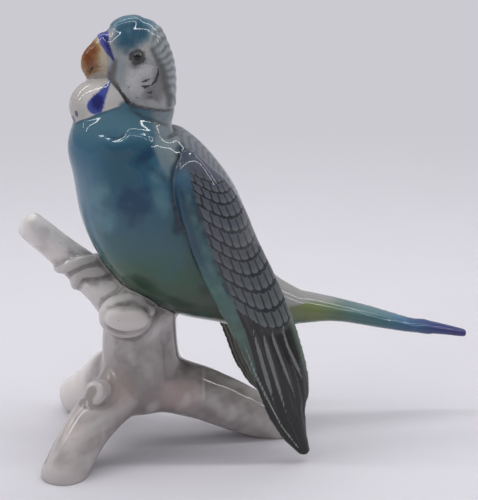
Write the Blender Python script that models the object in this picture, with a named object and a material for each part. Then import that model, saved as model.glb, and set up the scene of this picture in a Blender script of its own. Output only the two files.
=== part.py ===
"""Parrot figurine: a budgerigar with drooped wings on a forked branch, slip-cast in one piece of glazed porcelain.

The bird, the branch and the toes are one casting. Its shapes are lofted one by one, fused into one skin, eased at
the forks as wet slip is, and ground flat under its three feet. Metres, +Z up, the feet on the plane z = 0.
"""

import math

import bmesh
import bpy
import numpy as np
from mathutils import Matrix, Vector
from mathutils.bvhtree import BVHTree

# The branch: a trunk on three legs, an upper limb, a cut stub towards the viewer and a knot on the front leg.
TRUNK_RADIUS = 0.0140
FORK_HEIGHT = 0.0255
PERCH_HEIGHT = 0.0500
LIMB_LENGTH = 0.0600
LIMB_RADIUS = 0.0062
LIMB_RISE_DEG = 41.0
LEG_RADIUS = 0.0086
FRONT_LEG_REACH = 0.0440
RIGHT_LEG_REACH = 0.0550
BACK_LEG_REACH = 0.0425
STUB_RADIUS = 0.0080
STUB_LENGTH = 0.0225
KNOT_RADIUS = 0.0056
KNOT_RISE = 0.0024
TOE_RADIUS = 0.0026

# The bird, measured along its own axes.
BIRD_TURN_DEG = 13.0
HEAD_TURN_DEG = 6.0
BODY_LENGTH = 0.0975
BODY_DEPTH = 0.0515
BODY_WIDTH = 0.0470
HEAD_HEIGHT = 0.0365
HEAD_DEPTH = 0.0240
HEAD_WIDTH = 0.0238
THROAT_DEPTH = 0.0190
THROAT_WIDTH = 0.0215
BEAK_LENGTH = 0.0118
BEAK_WIDTH = 0.0100
EYE_RADIUS = 0.0019
WING_TIP_HEIGHT = 0.0040
WING_CHORD = 0.0300
WING_THICKNESS = 0.0080
WING_CAMBER = 0.30
QUILL_DEPTH = 0.0006
TAIL_LENGTH = 0.0700
TAIL_WIDTH = 0.0170
TAIL_THICKNESS = 0.0110

# How finely the casting is made.
SKIN_STEP = 0.0009
FORK_EASE = 0.0034
BIRD_EASE = 0.0011
RING_POINTS = 40
ROWS_PER_SPAN = 6
CAP_ROWS = 6
MOST_TRIANGLES = 11600

# The flat colours of its painted areas.
COLOURS = {
    "white": (0.62, 0.60, 0.60),
    "ash": (0.25, 0.24, 0.24),
    "teal": (0.08, 0.20, 0.28),
    "green": (0.07, 0.16, 0.11),
    "blue grey": (0.25, 0.32, 0.35),
    "orange": (0.42, 0.17, 0.05),
    "violet": (0.05, 0.06, 0.28),
    "black": (0.01, 0.01, 0.01),
    "pale grey": (0.30, 0.33, 0.33),
    "charcoal": (0.05, 0.06, 0.06),
    "sea blue": (0.06, 0.16, 0.28),
}
BELLY_SHARE = 0.12
COVERT_END = 0.56
QUILLS = 2.0

# The bird stands over the trunk, a little aside from its middle line.
PERCH_X = 0.25 * TRUNK_RADIUS
PERCH_Y = -0.20 * TRUNK_RADIUS
# Which way the front leg runs along the table.
FRONT_LEG_WAY = (-0.64, -0.77)

# Lofted shapes, as shares of the sizes above. The bird's frame is (forward, left, up) from the perch, and a row of
# the body, the head, the throat or the beak is forward, up, half its depth, half its width.
BODY_ROWS = (
    (0.060, 0.860, 0.44, 0.44),
    (0.072, 0.800, 0.66, 0.70),
    (0.080, 0.745, 0.76, 0.80),
    (0.068, 0.681, 0.83, 0.88),
    (0.012, 0.562, 1.01, 0.98),
    (-0.058, 0.432, 1.09, 1.02),
    (-0.142, 0.306, 1.04, 0.98),
    (-0.232, 0.197, 0.83, 0.86),
    (-0.338, 0.110, 0.57, 0.67),
    (-0.446, 0.050, 0.45, 0.51),
    (-0.574, 0.012, 0.28, 0.38),
)
NECK = (0.010, 0.821)
HEAD_ROWS = (
    (0.225, 0.880, 0.50, 0.48),
    (0.195, 0.810, 0.75, 0.72),
    (0.160, 0.730, 0.89, 0.85),
    (0.085, 0.605, 0.99, 0.96),
    (0.020, 0.490, 1.03, 1.01),
    (-0.005, 0.355, 1.04, 1.03),
    (-0.020, 0.229, 1.01, 1.02),
    (-0.030, 0.092, 0.96, 0.98),
    (0.000, -0.080, 0.88, 0.96),
)
BEAK_ROWS = (
    (0.75, 1.72, 0.53, 0.92),
    (1.17, 1.74, 0.53, 0.92),
    (1.43, 1.62, 0.43, 0.80),
    (1.59, 1.42, 0.28, 0.58),
    (1.65, 1.20, 0.09, 0.20),
)
CERE_ROWS = (
    (0.90, 1.91, 0.60, 1.06),
    (1.10, 1.86, 0.61, 1.10),
    (1.22, 1.83, 0.52, 0.98),
)
JAW_ROWS = (
    (0.80, 1.22, 0.22, 0.62),
    (1.20, 1.18, 0.21, 0.56),
    (1.46, 1.16, 0.14, 0.36),
)
CHEEK_ROWS = (
    (0.06, 0.52, 0.36, 0.20),
    (0.02, 0.40, 0.50, 0.26),
    (-0.04, 0.27, 0.46, 0.24),
)
THROAT_ROWS = (
    (0.80, 0.44, 1.08, 0.96),
    (1.30, 0.34, 1.12, 1.02),
    (1.68, 0.22, 1.11, 1.00),
)
# A row of the stub is along, half its width, half its height.
STUB_ROWS = (
    (0.00, 1.10, 1.00),
    (0.40, 1.12, 0.98),
    (0.60, 1.24, 1.04),
    (0.70, 1.20, 1.00),
    (0.77, 0.98, 0.68),
    (0.90, 1.02, 0.60),
    (1.00, 0.98, 0.54),
)
# A row of the tail is along, up, half its thickness, half its width.
TAIL_ROWS = (
    (-0.14, 0.020, 1.10, 1.10),
    (0.00, 0.000, 1.16, 1.00),
    (0.23, -0.034, 0.76, 0.88),
    (0.46, -0.099, 0.62, 0.76),
    (0.66, -0.161, 0.46, 0.60),
    (0.84, -0.199, 0.30, 0.42),
    (1.00, -0.241, 0.18, 0.24),
)
# A row of the wing is forward, left, up from its shoulder, then its width before and behind its middle line, half
# its thickness, and how far it wraps the body, in degrees.
WING_ROWS = (
    (0.006, -0.030, -0.010, 0.26, 0.18, 0.60, 26.0),
    (-0.002, -0.006, -0.046, 0.54, 0.42, 0.95, 28.0),
    (-0.022, 0.018, -0.110, 0.70, 0.76, 1.05, 28.0),
    (-0.056, 0.030, -0.212, 0.78, 1.00, 1.00, 28.0),
    (-0.102, 0.030, -0.337, 0.80, 1.02, 0.90, 26.0),
    (-0.156, 0.035, -0.466, 0.74, 1.00, 0.80, 20.0),
    (-0.204, 0.050, -0.595, 0.62, 0.96, 0.70, 14.0),
    (-0.250, 0.066, -0.727, 0.58, 0.84, 0.60, 8.0),
    (-0.280, 0.075, -0.830, 0.54, 0.66, 0.54, 4.0),
    (-0.298, 0.077, -0.874, 0.51, 0.40, 0.50, 3.0),
    (-0.318, 0.080, -0.932, 0.42, 0.24, 0.46, 0.0),
    (-0.342, 0.080, -1.000, 0.18, 0.14, 0.36, 0.0),
)


def ease(rows, steps=ROWS_PER_SPAN):
    """The rows of numbers joined by one smooth curve that passes through each of them."""
    rows = np.asarray(rows, float)
    ends = np.vstack([2 * rows[0] - rows[1], rows, 2 * rows[-1] - rows[-2]])
    t = np.linspace(0, 1, steps, endpoint=False)[:, None]
    spans = [
        0.5 * (2 * b + (c - a) * t + (2 * a - 5 * b + 4 * c - d) * t**2 + (3 * b - a - 3 * c + d) * t**3)
        for a, b, c, d in zip(ends, ends[1:], ends[2:], ends[3:])
    ]
    return np.vstack(spans + [rows[-1:]])


def unit(vectors):
    return vectors / np.linalg.norm(vectors, axis=-1, keepdims=True)


def frames(centres, side):
    """(along, across, out) at each centre of a path: across is as near to side as a square section allows."""
    along = unit(np.gradient(centres, axis=0))
    side = np.broadcast_to(np.asarray(side, float), centres.shape)
    across = unit(side - (side * along).sum(1, keepdims=True) * along)
    return along, across, np.cross(along, across)


def turned(x, y, degrees):
    a = math.radians(degrees)
    return x * math.cos(a) - y * math.sin(a), x * math.sin(a) + y * math.cos(a)


def heading(forward, left, up, turn=BIRD_TURN_DEG):
    """A direction of the bird on the table's axes. The bird looks along -X, turned a little towards the viewer."""
    x, y = turned(-np.asarray(forward, float), -np.asarray(left, float), turn)
    return np.stack(np.broadcast_arrays(x, y, np.asarray(up, float)), axis=-1)


def bird(forward, left, up):
    """Points of the bird's frame, which starts at its perch, on the table's axes."""
    return heading(forward, left, up) + (PERCH_X, PERCH_Y, PERCH_HEIGHT)


def neck(forward, left, up):
    """Points of the head's frame, which starts at the neck and is turned on it, on the table's axes."""
    base = bird(NECK[0] * BODY_LENGTH, 0, NECK[1] * BODY_LENGTH)
    return base + heading(forward, left, up, HEAD_TURN_DEG)


def tube(rings, start, end):
    """(points, faces) of a closed tube: rings of points joined in order, each end drawn to a single point."""
    count = len(rings[0])
    points = np.vstack([start[None], *rings, end[None]])
    last = 1 + (len(rings) - 1) * count
    faces = []
    for i in range(count):
        j = (i + 1) % count
        faces.append((0, 1 + j, 1 + i))
        for low in range(1, last, count):
            faces.append((low + i, low + j, low + count + j, low + count + i))
        faces.append((last + i, last + j, len(points) - 1))
    return points, faces


def round_section(row, a):
    return np.cos(a), np.sin(a)


def loft(centres, across_halves, out_halves, side, domes, section=round_section):
    """A closed tube along centres with a section of the given halves. The domes are the heights of its two ends."""
    along, across, out = frames(centres, side)
    turn = np.linspace(0, 2 * np.pi, RING_POINTS, endpoint=False)

    def ring(row, centre, share):
        u, v = section(row, turn)
        wide = share * across_halves[row] * u[:, None] * across[row]
        return centre + wide + share * out_halves[row] * v[:, None] * out[row]

    rise = np.linspace(0, np.pi / 2, CAP_ROWS, endpoint=False)[1:]
    first, last = 0, len(centres) - 1
    rings = [ring(first, centres[first] - domes[0] * math.sin(a) * along[first], math.cos(a)) for a in rise[::-1]]
    rings += [ring(row, centres[row], 1.0) for row in range(len(centres))]
    rings += [ring(last, centres[last] + domes[1] * math.sin(a) * along[last], math.cos(a)) for a in rise]
    return tube(rings, centres[first] - domes[0] * along[first], centres[last] + domes[1] * along[last])


def rod(points, radii, domes=(0.7, 0.7)):
    """A round tube of changing radius through a few points. The domes are shares of its end radii."""
    rows = ease([(*p, r) for p, r in zip(points, radii)])
    halves = rows[:, 3]
    return loft(rows[:, :3], halves, halves, (0.31, 0.87, 0.39), (domes[0] * halves[0], domes[1] * halves[-1]))


def body():
    rows = ease(BODY_ROWS)
    centres = bird(rows[:, 0] * BODY_LENGTH, 0, rows[:, 1] * BODY_LENGTH)
    wide, deep = rows[:, 3] * BODY_WIDTH / 2, rows[:, 2] * BODY_DEPTH / 2
    return loft(centres, wide, deep, heading(0, 1, 0), (0.5 * deep[0], 0.7 * deep[-1]))


def face_part(table, domes, length, depth, width):
    """A shape in the bird's middle plane at its head: rows of forward, up, half depth, half width."""
    rows = ease(table)
    centres = neck(rows[:, 0] * depth, 0, rows[:, 1] * length)
    wide, deep = rows[:, 3] * width / 2, rows[:, 2] * depth / 2
    return loft(centres, wide, deep, heading(0, 1, 0, HEAD_TURN_DEG), (domes[0] * deep[0], domes[1] * deep[-1]))


def head():
    return face_part(HEAD_ROWS, (0.50, 0.7), HEAD_HEIGHT, HEAD_DEPTH, HEAD_WIDTH)


def snout(table, domes):
    """The beak, the cere over it or the jaw under it."""
    rows = [(forward, up, 2 * deep, wide) for forward, up, deep, wide in table]
    return face_part(rows, domes, BEAK_LENGTH, BEAK_LENGTH, BEAK_WIDTH)


def throat():
    """The puffed bib under the beak."""
    half = THROAT_DEPTH / 2
    return face_part([(f / 2, u / 2, d, w) for f, u, d, w in THROAT_ROWS], (0.8, 1.0), 2 * half, 2 * half, THROAT_WIDTH)


def cheek(hand):
    """The puffed cheek under one eye. hand is 1 on the bird's left, -1 on its right."""
    rows = ease(CHEEK_ROWS)
    left = hand * 0.33 * HEAD_WIDTH
    centres = neck(rows[:, 0] * HEAD_DEPTH, left, rows[:, 1] * HEAD_HEIGHT)
    wide, deep = rows[:, 3] * HEAD_WIDTH, rows[:, 2] * HEAD_DEPTH / 2
    return loft(centres, wide, deep, heading(0, 1, 0, HEAD_TURN_DEG), (0.7 * deep[0], 0.7 * deep[-1]))


def eye(hand):
    """The bead of one eye, half sunk in the face."""
    outward = hand * heading(0, 1, 0, HEAD_TURN_DEG)
    socket = neck(0.075 * HEAD_DEPTH, hand * 0.455 * HEAD_WIDTH, 0.62 * HEAD_HEIGHT)
    return rod([socket - EYE_RADIUS * outward, socket + 0.25 * EYE_RADIUS * outward], [EYE_RADIUS] * 2, (1.0, 0.8))


def shoulder():
    """The wing's root in the bird's frame, on its left."""
    return np.array([-0.148 * BODY_LENGTH, 0.43 * BODY_WIDTH, 0.700 * BODY_LENGTH])


def wing_length():
    """So long that the tip hangs just clear of the table."""
    return PERCH_HEIGHT + shoulder()[2] - WING_TIP_HEIGHT


def wing_lines(hand):
    """The middle line of one wing, the way its chord runs, and its widths and half thickness along it."""
    rows = ease(WING_ROWS)
    forward, left, up = rows[:, :3].T * wing_length() + shoulder()[:, None]
    wrap = np.radians(rows[:, 6])
    chord = heading(np.cos(wrap), hand * np.sin(wrap), -0.33 * np.cos(wrap))
    lead, trail = rows[:, 3] * WING_CHORD / 2, rows[:, 4] * WING_CHORD / 2
    return bird(forward, hand * left, up), chord, lead, trail, rows[:, 5] * WING_THICKNESS / 2


def wing(hand):
    """One drooped wing: a thin curved blade over the body's side."""
    centres, chord, lead, trail, thick = wing_lines(hand)

    def section(row, a):
        u = np.cos(a)
        bulge = WING_CAMBER * hand * (lead[row] + trail[row]) / 2 * (u**2 - 0.4)
        full = np.sign(np.sin(a)) * np.abs(np.sin(a)) ** 0.6
        return u * np.where(u > 0, lead[row], trail[row]), full * thick[row] * (1 - 0.30 * u**2) + bulge

    whole = np.ones(len(centres))
    return loft(centres, whole, whole, chord, (1.2 * thick[0], thick[-1]), section)


def tail():
    rows = ease(TAIL_ROWS)
    root_forward, root_up = BODY_ROWS[-1][0] * BODY_LENGTH, BODY_ROWS[-1][1] * BODY_LENGTH
    centres = bird(root_forward - rows[:, 0] * TAIL_LENGTH, 0, root_up + rows[:, 1] * TAIL_LENGTH)
    wide, deep = rows[:, 3] * TAIL_WIDTH / 2, rows[:, 2] * TAIL_THICKNESS / 2
    return loft(centres, wide, deep, heading(0, 1, 0), (0.7 * deep[0], 0.7 * deep[-1]))


def limb_radius(share):
    """The upper limb thins fast from the trunk, then slowly."""
    return LIMB_RADIUS * (0.95 + 1.4 * (1 - share) ** 2.6)


def limb_point(share, out=0.0, angle=0.0):
    """A point at a share of the upper limb's length, out from its middle line, at an angle round it from its top."""
    rise, a = math.radians(LIMB_RISE_DEG), math.radians(angle)
    ahead = np.array([-math.cos(rise), 0, math.sin(rise)])
    above = np.array([math.sin(rise), 0, math.cos(rise)])
    near = np.array([0, -1.0, 0])
    start = np.array([0.28 * TRUNK_RADIUS, 0, PERCH_HEIGHT - 0.12 * TRUNK_RADIUS])
    return start + share * LIMB_LENGTH * ahead + out * (math.cos(a) * above + math.sin(a) * near)


def leg(way, reach, heights, radii, domes):
    """A leg from the fork to its sole. The first two heights are shares of the fork's, the last of the leg's radius."""
    fork = np.array([0, 0, FORK_HEIGHT])
    foot = reach * unit(np.array([*way, 0.0]))
    high, low, sole = heights[0] * FORK_HEIGHT, heights[1] * FORK_HEIGHT, heights[2] * LEG_RADIUS
    points = [fork, 0.37 * foot + (0, 0, high), 0.71 * foot + (0, 0, low), foot + (0, 0, sole)]
    return rod(points, [r * LEG_RADIUS for r in radii], domes)


def branches():
    """The trunk, the upper limb and the three legs."""
    fork = np.array([0, 0, FORK_HEIGHT])
    perch = np.array([0, 0, PERCH_HEIGHT])
    up = np.array([0, 0, 1.0])
    trunk = rod(
        [fork - 0.3 * TRUNK_RADIUS * up, fork + 0.4 * TRUNK_RADIUS * up, perch, perch + 0.4 * TRUNK_RADIUS * up],
        [r * TRUNK_RADIUS for r in (1.00, 1.06, 0.98, 0.86)],
    )
    shares = (0.0, 0.25, 0.5, 0.75, 1.0)
    limb = rod([limb_point(share) for share in shares], [limb_radius(share) for share in shares], (0.5, 0.3))
    legs = [
        leg(FRONT_LEG_WAY, FRONT_LEG_REACH, (0.86, 0.50, -0.15), (1.30, 1.15, 1.02, 1.02), (0.6, 0.5)),
        leg((0.99, 0.12), RIGHT_LEG_REACH, (0.76, 0.42, 0.30), (1.36, 1.24, 1.10, 0.86), (0.6, 0.7)),
        leg((-0.66, 0.75), BACK_LEG_REACH, (0.92, 0.50, 0.50), (1.36, 1.20, 1.05, 1.02), (0.6, 0.4)),
    ]
    return [trunk, limb, *legs]


def stub():
    """The cut end of a side branch towards the viewer: a rolled collar and the pale sawn face within it."""
    out = unit(np.array([0.17, -0.95, 0.18]))
    rows = ease(STUB_ROWS, 3)
    root = np.array([-0.49 * TRUNK_RADIUS, 0, PERCH_HEIGHT + 0.41 * STUB_RADIUS])
    wide, high = rows[:, 1] * STUB_RADIUS, rows[:, 2] * STUB_RADIUS
    return loft(root + rows[:, :1] * STUB_LENGTH * out, wide, high, (1.0, 0, -0.05), (high[0], 0.35 * high[-1]))


def knot():
    """The low round knot on the front leg."""
    out = unit(np.array([-0.50, -0.70, 0.51]))
    foot = FRONT_LEG_REACH * unit(np.array([*FRONT_LEG_WAY, 0.0]))
    seat = 0.37 * foot + (0, 0, 0.86 * FORK_HEIGHT)
    reach = 1.15 * LEG_RADIUS + KNOT_RISE
    return rod([seat, seat + 0.6 * reach * out, seat + reach * out], [r * KNOT_RADIUS for r in (1.1, 1.1, 0.9)], (0.5, 0.2))


def toe(turns):
    """A toe gripping the upper limb: rows of share along the limb and angle round it from its top."""
    rows = ease([(*turn, thick) for turn, thick in zip(turns, (0.80, 1.10, 1.05, 0.80))], 2)
    points = [limb_point(share, limb_radius(share) - 0.25 * TOE_RADIUS, angle) for share, angle, _ in rows]
    return rod(points, rows[:, 2] * TOE_RADIUS, (0.8, 1.0))


def feet():
    """Two toes round the limb's near side, one round its far side, and the other foot's over the stub."""
    perch = np.array([0, 0, PERCH_HEIGHT])
    over_stub = [perch + TRUNK_RADIUS * np.array(p) for p in ((-0.30, -0.60, 0.86), (0.02, -0.86, 0.78), (0.36, -0.94, 0.52))]
    return [
        toe(((0.36, -30), (0.48, 15), (0.61, 75), (0.665, 150))),
        toe(((0.26, -30), (0.38, 15), (0.55, 85), (0.515, 155))),
        toe(((0.44, 10), (0.50, -50), (0.54, -100), (0.55, -150))),
        rod(over_stub, [1.3 * TOE_RADIUS, 1.2 * TOE_RADIUS, 0.9 * TOE_RADIUS]),
    ]


def mesh_of(name, shells):
    """One mesh that holds all the shells."""
    points, faces, first = [], [], 0
    for shell_points, shell_faces in shells:
        points.append(shell_points)
        faces += [tuple(first + i for i in face) for face in shell_faces]
        first += len(shell_points)
    mesh = bpy.data.meshes.new(name)
    mesh.from_pydata(np.vstack(points).tolist(), [], faces)
    mesh.update()
    return mesh


def modified(mesh, kind, **settings):
    """The mesh that one modifier makes of this one."""
    holder = bpy.data.objects.new("holder", mesh)
    bpy.context.scene.collection.objects.link(holder)
    modifier = holder.modifiers.new(kind, kind)
    for name, value in settings.items():
        setattr(modifier, name, value)
    made = bpy.data.meshes.new_from_object(holder.evaluated_get(bpy.context.evaluated_depsgraph_get()))
    bpy.data.objects.remove(holder)
    return made


def fused(shells):
    """The overlapping shells made one skin of even faces."""
    return modified(mesh_of("shells", shells), "REMESH", mode="VOXEL", voxel_size=SKIN_STEP, adaptivity=0.0)


def points_of(mesh):
    points = np.empty(len(mesh.vertices) * 3)
    mesh.vertices.foreach_get("co", points)
    return points.reshape(-1, 3)


def shell_of(mesh):
    return points_of(mesh), [tuple(face.vertices) for face in mesh.polygons]


def relaxed(mesh, reach):
    """Each point drawn towards its neighbours, which rounds the creases over about reach."""
    points = points_of(mesh)
    ends = np.empty(len(mesh.edges) * 2, int)
    mesh.edges.foreach_get("vertices", ends)
    a, b = ends.reshape(-1, 2).T
    count = np.bincount(ends, minlength=len(points))
    for _ in range(max(1, round(2 * (reach / SKIN_STEP) ** 2))):
        for axis in range(3):
            values = points[:, axis].copy()
            total = np.bincount(a, values[b], len(points)) + np.bincount(b, values[a], len(points))
            points[:, axis] += 0.5 * (total / count - values)
    mesh.vertices.foreach_set("co", points.ravel())
    mesh.update()
    return mesh


def wing_depth(points, hand):
    """How deep the modelling of one wing is cut at each point: the step at the ends of the coverts, and the slits
    between the quills below it."""
    centres, chord, lead, trail, thick = wing_lines(hand)
    along, across, out = frames(centres, chord)
    near = ((points[:, None] - centres[None]) ** 2).sum(2).argmin(1)
    from_line = points - centres[near]
    step = np.linalg.norm(np.diff(centres, axis=0), axis=1).mean()
    down = (near + (from_line * along[near]).sum(1) / step) / (len(centres) - 1)
    fore = (from_line * across[near]).sum(1)
    share = np.where(fore > 0, fore / lead[near], fore / trail[near])
    outward = -hand * (from_line * out[near]).sum(1)
    on_blade = (outward > -1.2 * thick[near]) & (outward < 3.0 * thick[near])
    ends = COVERT_END + 0.05 * np.cos(2.2 * share)
    below = np.clip((down - ends) / 0.04, 0, 1) * np.clip((1.02 - down) / 0.06, 0, 1)
    slit = 0.5 + 0.5 * np.cos(2 * np.pi * QUILLS * (share + 0.2))
    fade = np.clip((1 - np.abs(share)) / 0.25, 0, 1)
    return on_blade * below * fade * QUILL_DEPTH * (0.4 + slit)


def carved(mesh):
    """The feathers of both wings cut into the skin."""
    points = points_of(mesh)
    normals = np.empty(points.size)
    mesh.vertices.foreach_get("normal", normals)
    normals = normals.reshape(-1, 3)
    for hand in (1, -1):
        outward = hand * heading(0, 1, 0)
        facing = np.clip((normals @ outward) * 2, 0, 1)
        points -= normals * (facing * wing_depth(points, hand))[:, None]
    mesh.vertices.foreach_set("co", points.ravel())
    mesh.update()
    return mesh


def thinned(mesh):
    """The skin with no more triangles than its shape needs."""
    return modified(mesh, "DECIMATE", ratio=min(1.0, MOST_TRIANGLES / (2 * len(mesh.polygons))))


def ground(mesh):
    """The feet ground flat on the table, and the figurine put over the middle of its own length and breadth. Gives
    that move back."""
    work = bmesh.new()
    work.from_mesh(mesh)
    parts = [*work.verts, *work.edges, *work.faces]
    cut = bmesh.ops.bisect_plane(work, geom=parts, plane_co=(0, 0, 0), plane_no=(0, 0, 1), clear_inner=True)
    rims = [part for part in cut["geom_cut"] if isinstance(part, bmesh.types.BMEdge)]
    bmesh.ops.holes_fill(work, edges=rims, sides=0)
    bmesh.ops.recalc_face_normals(work, faces=work.faces)
    work.to_mesh(mesh)
    work.free()
    points = points_of(mesh)
    middle = Vector((*(points[:, :2].min(0) + points[:, :2].max(0)) / 2, 0))
    mesh.transform(Matrix.Translation(-middle))
    mesh.update()
    return middle


def paint(mesh, fields, middle):
    """Each face in the colour of the shape nearest to it."""
    colours = list(COLOURS)
    for name in colours:
        material = bpy.data.materials.new(name)
        material.use_nodes = True
        glaze = material.node_tree.nodes["Principled BSDF"].inputs
        glaze["Base Color"].default_value = (*COLOURS[name], 1.0)
        glaze["Roughness"].default_value = 0.08
        glaze["Metallic"].default_value = 0.0
        mesh.materials.append(material)
    trees = [(name, BVHTree.FromPolygons(points.tolist(), faces)) for name, (points, faces) in fields]
    for face in mesh.polygons:
        centre = face.center + middle
        name = min(trees, key=lambda tree: tree[1].find_nearest(centre)[3])[0]
        height = centre.z
        if name == "teal" and height < PERCH_HEIGHT + BELLY_SHARE * BODY_LENGTH:
            name = "green"
        if name == "pale grey" and height < PERCH_HEIGHT + shoulder()[2] - COVERT_END * wing_length():
            name = "charcoal"
        face.material_index = colours.index(name)
        face.use_smooth = True


def main():
    for obj in list(bpy.data.objects):
        bpy.data.objects.remove(obj)
    wood = shell_of(relaxed(fused(branches()), FORK_EASE))
    fields = [
        ("teal", body()),
        ("blue grey", head()),
        ("blue grey", cheek(1)),
        ("blue grey", cheek(-1)),
        ("white", throat()),
        ("orange", snout(BEAK_ROWS, (0.3, 0.9))),
        ("violet", snout(CERE_ROWS, (0.3, 0.5))),
        ("white", snout(JAW_ROWS, (0.3, 0.8))),
        ("black", eye(1)),
        ("black", eye(-1)),
        ("pale grey", wing(1)),
        ("pale grey", wing(-1)),
        ("sea blue", tail()),
        ("white", wood),
        ("white", stub()),
        ("white", knot()),
        *[("ash", shell) for shell in feet()],
    ]
    skin = carved(relaxed(fused([shell for _, shell in fields]), BIRD_EASE))
    mesh = thinned(relaxed(skin, QUILL_DEPTH))
    mesh.name = "parrot_figurine"
    paint(mesh, fields, ground(mesh))
    bpy.context.scene.collection.objects.link(bpy.data.objects.new("parrot_figurine", mesh))


main()
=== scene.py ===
"""Looks of a porcelain budgerigar on a forked branch: its cast skin, its painting and its glaze.

The figurine is one slip-cast piece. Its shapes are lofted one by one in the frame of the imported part, fused
into one skin, eased as wet slip is, carved with the feathers and toes, and ground flat under its three feet.
Metres, +Z up.
"""

import logging
import math
from collections.abc import Callable
from dataclasses import dataclass, field
from enum import Enum

import bmesh
import bpy
import numpy as np
from mathutils import Matrix, Vector
from mathutils.bvhtree import BVHTree


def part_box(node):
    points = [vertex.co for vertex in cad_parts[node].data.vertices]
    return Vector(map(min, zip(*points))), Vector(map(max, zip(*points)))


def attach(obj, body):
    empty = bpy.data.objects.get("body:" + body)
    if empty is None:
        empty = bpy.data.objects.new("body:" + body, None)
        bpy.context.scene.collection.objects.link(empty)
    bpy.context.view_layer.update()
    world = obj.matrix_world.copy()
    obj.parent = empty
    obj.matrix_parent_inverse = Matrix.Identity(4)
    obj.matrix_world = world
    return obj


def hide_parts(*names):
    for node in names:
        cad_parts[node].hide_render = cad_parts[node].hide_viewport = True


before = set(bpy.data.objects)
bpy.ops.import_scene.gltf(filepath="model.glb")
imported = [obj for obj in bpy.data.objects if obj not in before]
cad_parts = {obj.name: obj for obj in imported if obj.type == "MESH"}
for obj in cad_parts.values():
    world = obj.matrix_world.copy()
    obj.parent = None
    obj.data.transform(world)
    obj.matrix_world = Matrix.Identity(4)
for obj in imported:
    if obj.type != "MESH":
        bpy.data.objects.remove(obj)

NODE = "parrot_figurine"
MM = 0.001
Row = tuple[float, ...]
Rows = tuple[Row, ...]
Domes = tuple[float, float]
Numbers = float | np.ndarray
Section = Callable[[int, np.ndarray], tuple[np.ndarray, np.ndarray]]
Spots = list[Row]


class Zone(Enum):
    """What a stretch of the skin shows, which settles how it is painted."""

    BODY = "body"
    HEAD = "head"
    THROAT = "throat"
    BEAK = "beak"
    CERE = "cere"
    JAW = "jaw"
    WING = "wing"
    TAIL = "tail"
    WOOD = "wood"
    TOES = "toes"


@dataclass(frozen=True)
class Shell:
    """A closed surface: its points and its faces, with the zone that it paints."""

    points: np.ndarray
    faces: list[tuple[int, ...]]
    zone: Zone


def ease(rows: Rows | Spots | np.ndarray, steps: int = 6) -> np.ndarray:
    """Joins rows of numbers by one smooth curve that passes through each of them.

    Args:
        rows: The rows, each with the same count of numbers.
        steps: How many rows each span between two given rows is made of.

    Returns:
        The rows of the curve, the given ones among them.
    """
    rows = np.asarray(rows, float)
    ends = np.vstack([2 * rows[0] - rows[1], rows, 2 * rows[-1] - rows[-2]])
    t = np.linspace(0, 1, steps, endpoint=False)[:, None]
    spans = [
        0.5 * (2 * b + (c - a) * t + (2 * a - 5 * b + 4 * c - d) * t**2 + (3 * b - a - 3 * c + d) * t**3)
        for a, b, c, d in zip(ends, ends[1:], ends[2:], ends[3:])
    ]
    return np.vstack(spans + [rows[-1:]])


def unit(vectors: np.ndarray) -> np.ndarray:
    """The vectors at length one."""
    return vectors / np.linalg.norm(vectors, axis=-1, keepdims=True)


def step_between(values: np.ndarray, low: float, high: float) -> np.ndarray:
    """A soft step of each value: 0 at low and before it, 1 at high and beyond it."""
    share = np.clip((values - low) / (high - low), 0, 1)
    return share * share * (3 - 2 * share)


def bell(values: Numbers, middle: Numbers, width: float) -> Numbers:
    """A soft hump of each value: 1 at the middle, fading within about the width on both sides of it."""
    return np.exp(-(((values - middle) / width) ** 2))


def section_frames(centres: np.ndarray, side: np.ndarray | Row) -> tuple[np.ndarray, ...]:
    """Square axes at each centre of a path.

    Args:
        centres: The points of the path.
        side: The way that the sections are wide, one for all or one for each centre.

    Returns:
        The ways along the path, across it (as near to side as a square section allows) and out of it.
    """
    along = unit(np.gradient(centres, axis=0))
    side = np.broadcast_to(np.asarray(side, float), centres.shape)
    across = unit(side - (side * along).sum(1, keepdims=True) * along)
    return along, across, np.cross(along, across)


def round_section(row: int, a: np.ndarray) -> tuple[np.ndarray, np.ndarray]:
    """A round section, whichever row it is at."""
    return np.cos(a), np.sin(a)


def tube(rings: list[np.ndarray], start: np.ndarray, end: np.ndarray, zone: Zone) -> Shell:
    """Joins rings of points in order into one closed tube.

    Args:
        rings: Rings with the same count of points.
        start: The point that the first ring is drawn to.
        end: The point that the last ring is drawn to.
        zone: What the tube shows.

    Returns:
        The tube.
    """
    count = len(rings[0])
    points = np.vstack([start[None], *rings, end[None]])
    last = 1 + (len(rings) - 1) * count
    faces = []
    for i in range(count):
        j = (i + 1) % count
        faces.append((0, 1 + j, 1 + i))
        for low in range(1, last, count):
            faces.append((low + i, low + j, low + count + j, low + count + i))
        faces.append((last + i, last + j, len(points) - 1))
    return Shell(points, faces, zone)


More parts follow.
